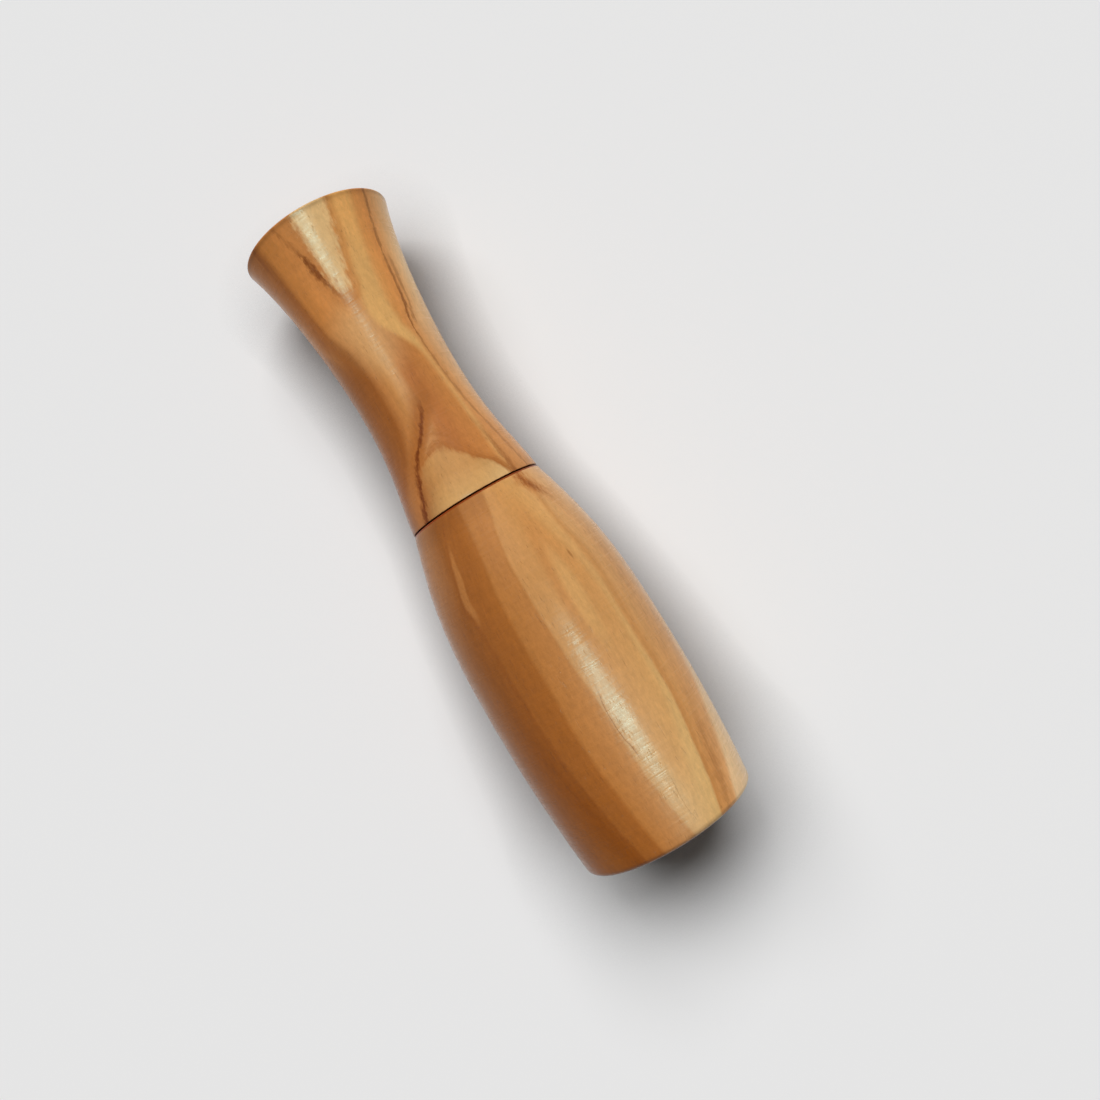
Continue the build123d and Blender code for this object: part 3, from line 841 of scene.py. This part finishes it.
def below_top(tree, point, station):
    """Millimetres below the pale top layer."""
    rise = times(tree, along_curve(tree, station, TOP_LAYER), -1.0)
    inputs = {"Point": point, "Across": along_curve(tree, station, TOP_LEAN), "Up": -1.0, "Rise": rise,
              "Spread": 1.0, "Waver": TOP_WAVER}
    return use_group(tree, growth_layers, inputs)["Layer"]


# %% The pale top layer of the bell
TONGUE_TO_WEDGE = (92, 108)
HALO_REACH = (83, 92, 1.7, 0.7)
TOP_HALO = (1.0, 0.08, 0, 0.95)
FEATHERS, FEATHER_RANGE, FEATHER_SHARES = (0.12, 5.0, 1.0), (0.36, 0.6), (0.6, 1.0)
NECK_FADE = (3.4, 0.8)
FRAY, FRAY_SIZE = (0.3, 1.3, 1.3), 0.8
TOP_EDGES, TOP_INSIDE = (0.4, 0.2), -0.15
FOOT_SHADE_FADE, FOOT_SHADE_EDGE = (6.5, 0.8), (-0.8, 0.3)
FOOT_SHADE_REACH = (80, 75, 0, 0.7)


def lay_top(tree, point, station, base, away):
    """The pale top layer over the tones, with its halo, frayed edge and shade beside the tongue's vein."""
    depth = below_top(tree, point, station)
    to_rim = between(tree, station, *TONGUE_TO_WEDGE)
    halo = calc(tree, "DIVIDE", depth, between(tree, station, *HALO_REACH))
    feathers = noise(tree, join(tree, station, depth), FEATHERS, 4.0, 0.65)
    halo = times(tree, between(tree, halo, *TOP_HALO, kind="SMOOTHSTEP"),
                 between(tree, feathers, *FEATHER_RANGE, *FEATHER_SHARES))
    neck = times(tree, between(tree, size_of(tree, away), *NECK_FADE, kind="SMOOTHSTEP"),
                 along_curve(tree, station, NECK_SHADE))
    brown = mix_colour(tree, to_rim, TONGUE_HALO, WEDGE_HALO)
    base = mix_colour(tree, calc(tree, "MAXIMUM", halo, neck), base, brown)
    frayed = minus(tree, noise(tree, point, FRAY, 4.0, 0.65), 0.5)
    frayed = plus(tree, depth, times(tree, frayed, FRAY_SIZE))
    edge = between(tree, to_rim, 0, 1, *TOP_EDGES)
    inside = between(tree, frayed, edge, TOP_INSIDE, kind="SMOOTHSTEP")
    base = mix_colour(tree, inside, base, top_tones(tree, point, station, to_rim))
    beside = between(tree, away, *FOOT_SHADE_FADE)
    beside = times(tree, times(tree, beside, beside), between(tree, away, *FOOT_SHADE_EDGE))
    beside = times(tree, beside, between(tree, station, *FOOT_SHADE_REACH))
    return mix_colour(tree, beside, base, FOOT_SHADE)


# %% The bell's olive wood
BELL_LAYERS = 8.0


def draw_bell_veins(tree, base, point, tongue, right):
    """Veins beside the tongue and the wedge, on the left flank, along the right border and at the foot."""
    wedge = upright_sheet(tree, point, WEDGE_VEIN, WEDGE_WAVER)
    flank = upright_sheet(tree, point, FLANK_VEIN, FLANK_WAVER)
    strand = minus(tree, right, SECOND_STRAND)
    foot = upright_sheet(tree, point, FOOT_LINE, FOOT_WAVER)
    for away, width, strength, halo_share in (
        (tongue, BROAD_VEIN, TONGUE_VEIN_STRENGTH, HALO_SHARE),
        (wedge, BROAD_VEIN, WEDGE_VEIN_STRENGTH, HALO_SHARE),
        (flank, FLANK_VEIN_WIDTH, FLANK_VEIN_STRENGTH, THIN_HALO),
        (right, THIN_VEIN, RIGHT_BORDER_STRENGTH, THIN_HALO),
        (strand, THIN_VEIN, SECOND_STRAND_STRENGTH, HALO_SHARE),
        (foot, FOOT_LINE_WIDTH, FOOT_LINE_STRENGTH, HALO_SHARE),
    ):
        base = draw_vein(tree, base, point, away, width, strength, halo_share)
    return draw_back_lines(tree, base, point, BELL_BACK_LINES, BELL_BACK_WAVER)


def bell_wood():
    material, tree, surface = new_material("olive_wood_bell")
    point = station_point(tree)
    station = split(tree, point)["X"]
    right = upright_sheet(tree, point, RIGHT_BORDER, RIGHT_WAVER)
    tongue = upright_sheet(tree, point, TONGUE_VEIN, TONGUE_WAVER)
    layer, base = bell_layers(tree, point, station, right)
    base = lay_top(tree, point, station, base, tongue)
    base = draw_bell_veins(tree, base, point, tongue, right)
    # Painted shade on the rim's rounded edge.
    at_rim = between(tree, station, *RIM_EDGE_PAINTED_SHADE_REACH, kind="SMOOTHSTEP")
    base = mix_colour(tree, at_rim, base, RIM_EDGE_PAINTED_SHADE, "MULTIPLY")
    finish_olive(tree, surface, point, times(tree, layer, BELL_LAYERS), base)
    return material


bell_olive = bell_wood()
print("material:", bell_olive.name, len(bell_olive.node_tree.nodes), "nodes")

# %% [markdown]
# ## Turning the barrel
# The barrel's outside is two curves that meet at the belly. Inside are the rounded lip, the mouth bore, a
# cone and the wide chamber that takes the tone board.

# %% The barrel
MOUTH_CURVE = (0.31, 0.61, 0.31)
SHOULDER_CURVE = (0.33, 0.80, 0.51)
BARREL_EDGE = 1.2 * MM
JOINT_EDGE = 0.2 * MM
LIP_EDGE = 2.0 * MM
CHAMBER_LEAD_IN = 0.6 * MM
MOUTH_BORE_R = 6.5 * MM
MOUTH_BORE_END = MOUTH_X + 9.0 * MM
CHAMBER_R = 8.0 * MM
CHAMBER_START = MOUTH_BORE_END + CHAMBER_R - MOUTH_BORE_R


def turn_barrel():
    belly = (BELLY_X, BELLY_R)
    front = with_room(turned_curve((MOUTH_X, MOUTH_R), belly, MOUTH_CURVE), BARREL_EDGE)
    back = with_room(turned_curve((JOINT_X, JOINT_R), belly, SHOULDER_CURVE), JOINT_EDGE)
    bore = corners(
        (JOINT_X, CHAMBER_R),
        (CHAMBER_START, CHAMBER_R),
        (MOUTH_BORE_END, MOUTH_BORE_R),
        (MOUTH_X, MOUTH_BORE_R),
    )
    bm = spin_profile(front + back[-2::-1], bore)
    round_ring(bm, MOUTH_X, MOUTH_R, BARREL_EDGE, 8)
    round_ring(bm, MOUTH_X, MOUTH_BORE_R, LIP_EDGE, 10)
    round_ring(bm, JOINT_X, JOINT_R, JOINT_EDGE, 4)
    round_ring(bm, JOINT_X, CHAMBER_R, CHAMBER_LEAD_IN, 1)
    return bm


wood_barrel = make_object(turn_barrel(), "wood_barrel", barrel_olive)
stand_in(wood_barrel, "barrel", "barrel")

# %% [markdown]
# ## Turning the bell
# The bell runs from a crisp foot at the joint, through the waist, to the flared rim. Inside, a seat takes
# the tone board's flange, a socket takes its rear shank, and a throat opens into the flare. The foot's
# face stands a little nearer to the barrel than in the CAD model, so that the joint shows as a thin line.

# %% The bell
FOOT_CURVE = (0.20, 0.10, 0.54)
RIM_CURVE = (0.25, 0.66, 0.31)
FLARE_CURVE = (0.30, 0.72, 0.40)
FOOT_CLOSER = 0.2 * MM
FOOT_FACE_X = FOOT_X - FOOT_CLOSER
FOOT_EDGE = 0.08 * MM
RIM_EDGE = 0.6 * MM
BELL_MOUTH_EDGE = 1.0 * MM
BELL_MOUTH_R = 11.0 * MM
THROAT_R = 4.5 * MM
THROAT_END = MOUTH_X + 101.0 * MM
SOCKET_END = MOUTH_X + 92.0 * MM
SOCKET_R = 6.5 * MM
SEAT_R = 9.7 * MM
SEAT_X = MOUTH_X + 71.5 * MM


def turn_bell():
    waist = (WAIST_X, WAIST_R)
    foot = with_room(turned_curve((FOOT_FACE_X, JOINT_R), waist, FOOT_CURVE), FOOT_EDGE)
    flank = with_room(turned_curve((RIM_X, RIM_R), waist, RIM_CURVE), RIM_EDGE)
    throat = (THROAT_END, THROAT_R)
    flare = with_room(turned_curve((RIM_X, BELL_MOUTH_R), throat, FLARE_CURVE), BELL_MOUTH_EDGE)
    bore = flare + corners(
        (SOCKET_END, THROAT_R),
        (SOCKET_END, SOCKET_R),
        (SEAT_X, SOCKET_R),
        (SEAT_X, SEAT_R),
        (FOOT_FACE_X, SEAT_R),
    )
    bm = spin_profile(foot + flank[-2::-1], bore)
    round_ring(bm, FOOT_FACE_X, JOINT_R, FOOT_EDGE, 3)
    round_ring(bm, RIM_X, RIM_R, RIM_EDGE, 6)
    round_ring(bm, RIM_X, BELL_MOUTH_R, BELL_MOUTH_EDGE, 8)
    return bm


wood_bell = make_object(turn_bell(), "wood_bell", bell_olive)
stand_in(wood_bell, "bell", "bell")

# %% [markdown]
# ## Finishes of the inner pieces
# The tone board is moulded in black plastic with a faint flow pattern and a fine spark-eroded texture.
# The reeds are frosted film with lengthwise sanding marks. The cork is pressed from granules with dark
# pits, and the O-rings are matt rubber with a little dust. One group of scuffs serves plastic, film and
# rubber.

# %% Scuffs, and the moulded plastic
SPECKS, SPECK_RANGE = (3.0, 3.0, 3.0), (0.56, 0.72)

scuffs, entry, leave = new_group("scuffs", ("Point", "Along", "Across"), ("Lines", "Dust"))
tree = scuffs
scale = join(tree, entry["Along"], entry["Across"], entry["Across"])
feed(tree, leave["Lines"], noise(tree, entry["Point"], scale, 5.0, 0.7))
feed(tree, leave["Dust"], between(tree, noise(tree, entry["Point"], SPECKS, 4.0, 0.75), *SPECK_RANGE))

PLASTIC_BLACK, PLASTIC_GREY = colour(24, 24, 26), colour(37, 37, 39)
PLASTIC_FLOW, FLOW_RANGE = (0.08, 0.35, 0.35), (0.35, 0.65)
PLASTIC_DUST, PLASTIC_DUST_SHARE = colour(120, 116, 108), 0.12
PLASTIC_SCUFFS = {"Along": 0.4, "Across": 5.0}
PLASTIC_ROUGHNESS = (0.24, 0.42)
PLASTIC_GRIT, PLASTIC_RELIEF = (9.0, 9.0, 9.0), (0.25, 0.01)


def moulded_plastic():
    material, tree, surface = new_material("tone_board_plastic")
    point = station_point(tree)
    flow = noise(tree, point, PLASTIC_FLOW, 3.0, 0.6)
    marks = use_group(tree, scuffs, {"Point": point, **PLASTIC_SCUFFS})
    base = mix_colour(tree, between(tree, flow, *FLOW_RANGE), PLASTIC_BLACK, PLASTIC_GREY)
    base = mix_colour(tree, times(tree, marks["Dust"], PLASTIC_DUST_SHARE), base, PLASTIC_DUST)
    feed(tree, surface["Base Color"], base)
    feed(tree, surface["Roughness"], between(tree, marks["Lines"], *NOISE_RANGE, *PLASTIC_ROUGHNESS))
    emboss(tree, surface, noise(tree, point, PLASTIC_GRIT, 2.0, 0.6), *PLASTIC_RELIEF)
    return material


plastic = moulded_plastic()
print("material:", plastic.name)

# %% The frosted film
FILM_DARK, FILM_LIGHT, FILM_SCRATCH = colour(222, 219, 206), colour(238, 237, 229), colour(180, 176, 164)
FILM_SCUFFS = {"Along": 0.25, "Across": 9.0}
FILM_CLOUD = (0.2, 0.3, 0.3)
SCRATCH_SHARE = 0.12
FILM_ROUGHNESS = (0.3, 0.5)
FILM_CLEARNESS = 0.25
FILM_RELIEF = (0.2, 0.01)


def frosted_film():
    material, tree, surface = new_material("reed_film")
    point = station_point(tree)
    marks = use_group(tree, scuffs, {"Point": point, **FILM_SCUFFS})
    cloud = noise(tree, point, FILM_CLOUD)
    base = mix_colour(tree, between(tree, cloud, *NOISE_RANGE), FILM_DARK, FILM_LIGHT)
    base = mix_colour(tree, times(tree, marks["Lines"], SCRATCH_SHARE), base, FILM_SCRATCH)
    feed(tree, surface["Base Color"], base)
    feed(tree, surface["Roughness"], between(tree, marks["Lines"], *NOISE_RANGE, *FILM_ROUGHNESS))
    surface["Transmission Weight"].default_value = FILM_CLEARNESS
    emboss(tree, surface, marks["Lines"], *FILM_RELIEF)
    return material


film = frosted_film()
print("material:", film.name)

# %% The pressed cork
GRANULE_TONES = [(0.0, colour(176, 132, 86)), (0.4, colour(204, 162, 112)), (0.75, colour(190, 146, 96)),
                 (1.0, colour(150, 104, 62))]
GRANULE_BEND, GRANULES_PER_MM = (0.8, 0.8, 0.8), 0.9
PITS, PIT_RANGE, PIT_BROWN, PIT_SHARE = (2.2, 2.2, 2.2), (0.60, 0.68), colour(74, 46, 26), 0.8
SEAM_RANGE, SEAM_BROWN, SEAM_SHARE, SEAM_DEPTH = (0.45, 0.75), colour(128, 86, 48), 0.35, 0.4
CORK_ROUGHNESS, CORK_RELIEF = (0.78, 0.92), (0.6, 0.06)


def pressed_cork():
    material, tree, surface = new_material("cork")
    point = station_point(tree)
    shift = noise(tree, point, GRANULE_BEND, output="Color")
    bent = add_node(tree, "ShaderNodeVectorMath", {0: point, 1: shift}, operation="ADD").outputs["Vector"]
    cells = add_node(tree, "ShaderNodeTexVoronoi", {"Vector": bent, "Scale": GRANULES_PER_MM}).outputs
    each = add_node(tree, "ShaderNodeSeparateColor", {"Color": cells["Color"]}).outputs["Red"]
    base = tones(tree, each, GRANULE_TONES)
    pits = between(tree, noise(tree, point, PITS, 3.0, 0.6), *PIT_RANGE)
    seams = between(tree, cells["Distance"], *SEAM_RANGE)
    base = mix_colour(tree, times(tree, seams, SEAM_SHARE), base, SEAM_BROWN)
    base = mix_colour(tree, times(tree, pits, PIT_SHARE), base, PIT_BROWN)
    feed(tree, surface["Base Color"], base)
    feed(tree, surface["Roughness"], between(tree, each, 0, 1, *CORK_ROUGHNESS))
    height = minus(tree, each, plus(tree, pits, times(tree, seams, SEAM_DEPTH)))
    emboss(tree, surface, height, *CORK_RELIEF)
    return material


cork = pressed_cork()
print("material:", cork.name)

# %% The seal rubber
RUBBER_BLACK, RUBBER_GREY = colour(20, 20, 21), colour(34, 33, 32)
RUBBER_DUST, RUBBER_DUST_SHARE = colour(110, 104, 96), 0.2
RUBBER_SCUFFS = {"Along": 4.0, "Across": 0.8}
RUBBER_ROUGHNESS, RUBBER_RELIEF = (0.42, 0.62), (0.3, 0.01)


def seal_rubber():
    material, tree, surface = new_material("seal_rubber")
    marks = use_group(tree, scuffs, {"Point": station_point(tree), **RUBBER_SCUFFS})
    base = mix_colour(tree, marks["Lines"], RUBBER_BLACK, RUBBER_GREY)
    base = mix_colour(tree, times(tree, marks["Dust"], RUBBER_DUST_SHARE), base, RUBBER_DUST)
    feed(tree, surface["Base Color"], base)
    feed(tree, surface["Roughness"], between(tree, marks["Lines"], *NOISE_RANGE, *RUBBER_ROUGHNESS))
    emboss(tree, surface, marks["Lines"], *RUBBER_RELIEF)
    return material


rubber = seal_rubber()
print("material:", rubber.name)

# %% [markdown]
# ## The tone board
# The board's CAD shape is right, but a moulding has no razor edges. A copy of the CAD mesh is merged, its
# flat faces are made whole, and its sharp edges get a small rounding that catches the light.

# %% The tone board
MOULD_EDGE = 0.12 * MM
MOULD_ANGLE = math.radians(35)
FLAT_ANGLE = math.radians(0.5)
SAME_PLACE = 0.001 * MM


def mould_board():
    bm = bmesh.new()
    bm.from_mesh(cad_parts["tone_board"].data)
    bmesh.ops.remove_doubles(bm, verts=bm.verts, dist=SAME_PLACE)
    bmesh.ops.dissolve_limit(bm, angle_limit=FLAT_ANGLE, verts=bm.verts, edges=bm.edges)
    sharp = [edge for edge in bm.edges if edge.is_manifold and edge.calc_face_angle() > MOULD_ANGLE]
    round_edges(bm, sharp, MOULD_EDGE, 2, clamp=True)
    return bm


moulded_board = make_object(mould_board(), "moulded_board", plastic)
stand_in(moulded_board, "tone_board", "tone_unit")

# %% [markdown]
# ## The O-rings
# Each ring is a round cord of rubber. A circle as thick as the CAD ring is spun round the axis.

# %% The O-rings
CORD_SEGMENTS = 24


def spin_ring(node):
    low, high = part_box(node)
    section = high.x - low.x
    middle = Vector(((low.x + high.x) / 2, 0, high.z - section / 2))
    bm = bmesh.new()
    upright = Matrix.Translation(middle) @ Matrix.Rotation(math.radians(90), 4, "X")
    bmesh.ops.create_circle(bm, segments=CORD_SEGMENTS, radius=section / 2, matrix=upright)
    spin_round(bm, bm.verts[:] + bm.edges[:], SPIN_STEPS // 2)
    return bm


for node, body in (
    ("front_barrel_o_ring", "barrel_seals"),
    ("rear_barrel_o_ring", "barrel_seals"),
    ("front_bell_o_ring", "tone_unit"),
    ("rear_bell_o_ring", "tone_unit"),
):
    stand_in(make_object(spin_ring(node), f"rubber_{node}", rubber), node, body)

# %% [markdown]
# ## The reeds
# A reed is a strip of film that is held at its tail and bends along its free length. The strip is a thin
# box with shaped tip corners, cut across many times.

# %% The two reeds
REED_CUTS = 24
FILM_EDGE = 0.05 * MM
ROUND_TIP, CLIPPED_TIP = 2.5 * MM, 2.2 * MM


def box_between(low, high):
    """A box that fills the space between two corners."""
    bm = bmesh.new()
    bmesh.ops.create_cube(bm, size=1.0)
    bmesh.ops.scale(bm, verts=bm.verts, vec=high - low)
    bmesh.ops.translate(bm, verts=bm.verts, vec=(low + high) / 2)
    return bm


def cut_reed(node, corner, segments):
    low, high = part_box(node)
    bm = box_between(low, high)
    tip_edges = [
        edge
        for edge in bm.edges
        if all(abs(v.co.x - low.x) < CLOSE for v in edge.verts)
        and abs(edge.verts[0].co.y - edge.verts[1].co.y) < CLOSE
    ]
    round_edges(bm, tip_edges, corner, segments)
    rims = [edge for edge in bm.edges if abs(edge.verts[0].co.z - edge.verts[1].co.z) < CLOSE]
    round_edges(bm, rims, FILM_EDGE, 2, clamp=True)
    for number in range(1, REED_CUTS):
        station = low.x + (high.x - low.x) * number / REED_CUTS
        everything = bm.verts[:] + bm.edges[:] + bm.faces[:]
        bmesh.ops.bisect_plane(bm, geom=everything, plane_co=(station, 0, 0), plane_no=(1, 0, 0))
    return bm


for node, corner, segments in (("lower_reed", ROUND_TIP, 10), ("upper_reed", CLIPPED_TIP, 1)):
    strip = make_object(cut_reed(node, corner, segments), f"film_{node}", film)
    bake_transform(strip)
    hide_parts(node)

# %% [markdown]
# ## The cork wedge
# The wedge is cut from pressed cork, thinner at its tail, and jams both reeds in the slot. It starts as a
# box with its top lowered towards the tail. Rounded edges and small dents, all of them inwards, make it
# cork.

# %% The cork wedge
WEDGE_DROP = 0.66 * MM
WEDGE_EDGE = 0.35 * MM
WEDGE_DENT = 0.14 * MM
DENT_SCALE = 900.0
DENT_CUTS = 7


def cut_wedge():
    low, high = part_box("cork_wedge")
    bm = box_between(low, high)
    tail_top = [v for v in bm.verts if v.co.x > high.x - CLOSE and v.co.z > high.z - CLOSE]
    bmesh.ops.translate(bm, verts=tail_top, vec=(0, 0, -WEDGE_DROP))
    round_edges(bm, bm.edges[:], WEDGE_EDGE, 3)
    bmesh.ops.subdivide_edges(bm, edges=bm.edges[:], cuts=DENT_CUTS, use_grid_fill=True)
    bm.normal_update()
    for vert in bm.verts:
        dent = max(0.0, wave.noise(vert.co * DENT_SCALE)) * WEDGE_DENT
        vert.co -= vert.normal * dent
    return bm


stand_in(make_object(cut_wedge(), "cut_cork_wedge", cork), "cork_wedge", "tone_unit")

# %% [markdown]
# ## Floor, light and camera
# The call lies on a pale table. The barrel's belly and the bell's rim touch it, so in the call's own
# frame the table is tilted a little under the call, and level past the rim, where a pulled bell travels.
# A dark seam of contact shadow comes from ambient occlusion in the table's own colour, and reaches
# further near the mouth than along the call. Two wide soft suns from the bell's side lay the shadow round
# the call and past its mouth. Two cool lamps overhead only make highlights. Light linking keeps each on
# its own piece, the way a photographer flags a lamp. The camera looks nearly straight down.

# %% Floor
FLOOR_SIZE = 6.0
FLOOR_GAP = 0.05 * MM
RIM_TOUCH_X = RIM_X - RIM_EDGE
FLOOR_TILT = math.atan2(BELLY_R - (bell_high.z - AXIS_Z), RIM_TOUCH_X - BELLY_X)
FLOOR_GREY = colour(231, 231, 231)
CONTACT_REACH = [(-25, 32), (0, 23), (25, 17), (60, 14), (90, 16), (128, 16)]
CONTACT_SAMPLES = 4
FLOOR_ROUGHNESS = 0.9


def lay_floor():
    touch = Vector((RIM_TOUCH_X, 0, 2 * AXIS_Z - bell_high.z - FLOOR_GAP))
    bm = bmesh.new()
    place = Matrix.Translation(touch)
    bmesh.ops.create_grid(bm, x_segments=2, y_segments=1, size=FLOOR_SIZE / 2, matrix=place)
    under_call = [vert for vert in bm.verts if vert.co.x < touch.x - CLOSE]
    tilt = Matrix.Rotation(-FLOOR_TILT, 3, "Y")
    bmesh.ops.rotate(bm, verts=under_call, cent=touch, matrix=tilt)
    material, tree, surface = new_material("pale_floor")
    station = split(tree, station_point(tree))["X"]
    reach = times(tree, along_curve(tree, station, CONTACT_REACH), MM)
    inputs = {"Color": FLOOR_GREY, "Distance": reach}
    near = add_node(tree, "ShaderNodeAmbientOcclusion", inputs, samples=CONTACT_SAMPLES)
    feed(tree, surface["Base Color"], near.outputs["Color"])
    surface["Roughness"].default_value = FLOOR_ROUGHNESS
    surface["Specular IOR Level"].default_value = 0.0
    floor = make_object(bm, "floor", material)


lay_floor()
print(f"floor tilted {math.degrees(FLOOR_TILT):.2f} degrees")

# %% Light
ROOM_STRENGTH = 0.08
SUN_SIDE_TILT = math.radians(13)
SUN_BELL_TILT = math.radians(38)
SUN_SPREAD = math.radians(32)
LEFT_SUN_STRENGTH = 1.755
RIGHT_SUN_STRENGTH = 2.07
LAMP_HEIGHT = 0.7
LAMP_COLOUR = (0.46, 0.93, 0.89)
# Each lamp has its piece, its place along and beside the call, its turn, its two sizes and its power.
LAMPS = (
    ("barrel_lamp", wood_barrel, -0.16, -0.24, math.radians(40), (0.28, 0.2), 6.6),
    ("bell_lamp", wood_bell, 0.01, 0.045, math.radians(36), (0.24, 0.14), 3.6),
)


def light_room():
    world = bpy.data.worlds.new("pale_room")
    bpy.context.scene.world = world
    world.use_nodes = True
    tree = world.node_tree
    back = tree.nodes["Background"].inputs
    back["Color"].default_value = FLOOR_GREY
    rays = add_node(tree, "ShaderNodeLightPath").outputs
    seen = calc(tree, "MAXIMUM", rays["Is Camera Ray"], rays["Is Transmission Ray"])
    seen = calc(tree, "MAXIMUM", seen, rays["Is Glossy Ray"])
    feed(tree, back["Strength"], between(tree, seen, 0, 1, ROOM_STRENGTH, 1.0))


def hang_lamp(name, kind, place, turn, **settings):
    data = bpy.data.lights.new(name, kind)
    for setting, value in settings.items():
        setattr(data, setting, value)
    lamp = bpy.data.objects.new(name, data)
    bpy.context.scene.collection.objects.link(lamp)
    lamp.location = place
    lamp.rotation_euler = turn
    print(f"lamp {name}: {data.energy:.2f}")
    return lamp


light_room()
for name, side, strength in (("left_sun", -1, LEFT_SUN_STRENGTH), ("right_sun", 1, RIGHT_SUN_STRENGTH)):
    turn = (side * SUN_SIDE_TILT, SUN_BELL_TILT, 0)
    sun = hang_lamp(name, "SUN", (0, 0, 1), turn, energy=strength, angle=SUN_SPREAD)
    sun.visible_glossy = False
for name, piece, along, side, turn, size, power in LAMPS:
    lamp = hang_lamp(name, "AREA", (along, side, LAMP_HEIGHT), (0, 0, turn), energy=power,
                     shape="RECTANGLE", size=size[0], size_y=size[1], color=LAMP_COLOUR)
    lamp.visible_diffuse = False
    lit = bpy.data.collections.new(f"lit_by_{name}")
    lit.objects.link(piece)
    lamp.light_linking.receiver_collection = lit

# %% Camera
PHOTO_SIZE = 1100
LENS_IN_PIXELS = 975
SENSOR_WIDTH = 36.0
CAMERA_DISTANCE = 182.1 * MM
CAMERA_STATION = 49.5 * MM
AIM_STATION = 54.7 * MM
CAMERA_SIDE = -7.17 * MM
AXIS_ROLL = math.radians(31.035)
CLIP_START = 0.01


def place_camera():
    data = bpy.data.cameras.new("camera")
    data.sensor_width = SENSOR_WIDTH
    data.lens = SENSOR_WIDTH * LENS_IN_PIXELS / PHOTO_SIZE
    data.clip_start = CLIP_START
    camera = bpy.data.objects.new("camera", data)
    bpy.context.scene.collection.objects.link(camera)
    bpy.context.scene.camera = camera
    stand = Vector((MOUTH_X + CAMERA_STATION, CAMERA_SIDE, AXIS_Z + CAMERA_DISTANCE))
    aim = Vector((MOUTH_X + AIM_STATION, CAMERA_SIDE, AXIS_Z))
    back = (stand - aim).normalized()
    along = (Vector((1, 0, 0)) - back * back.x).normalized()
    up = along * math.cos(AXIS_ROLL) - back.cross(along) * math.sin(AXIS_ROLL)
    turn = Matrix((up.cross(back), up, back)).transposed().to_4x4()
    camera.matrix_world = Matrix.Translation(stand) @ turn
    print(f"camera lens {data.lens:.1f} mm")


place_camera()

# %% [markdown]
# ## View settings
# The standard view shows each tone about as it is written.

# %% View settings
bpy.context.scene.view_settings.view_transform = "Standard"
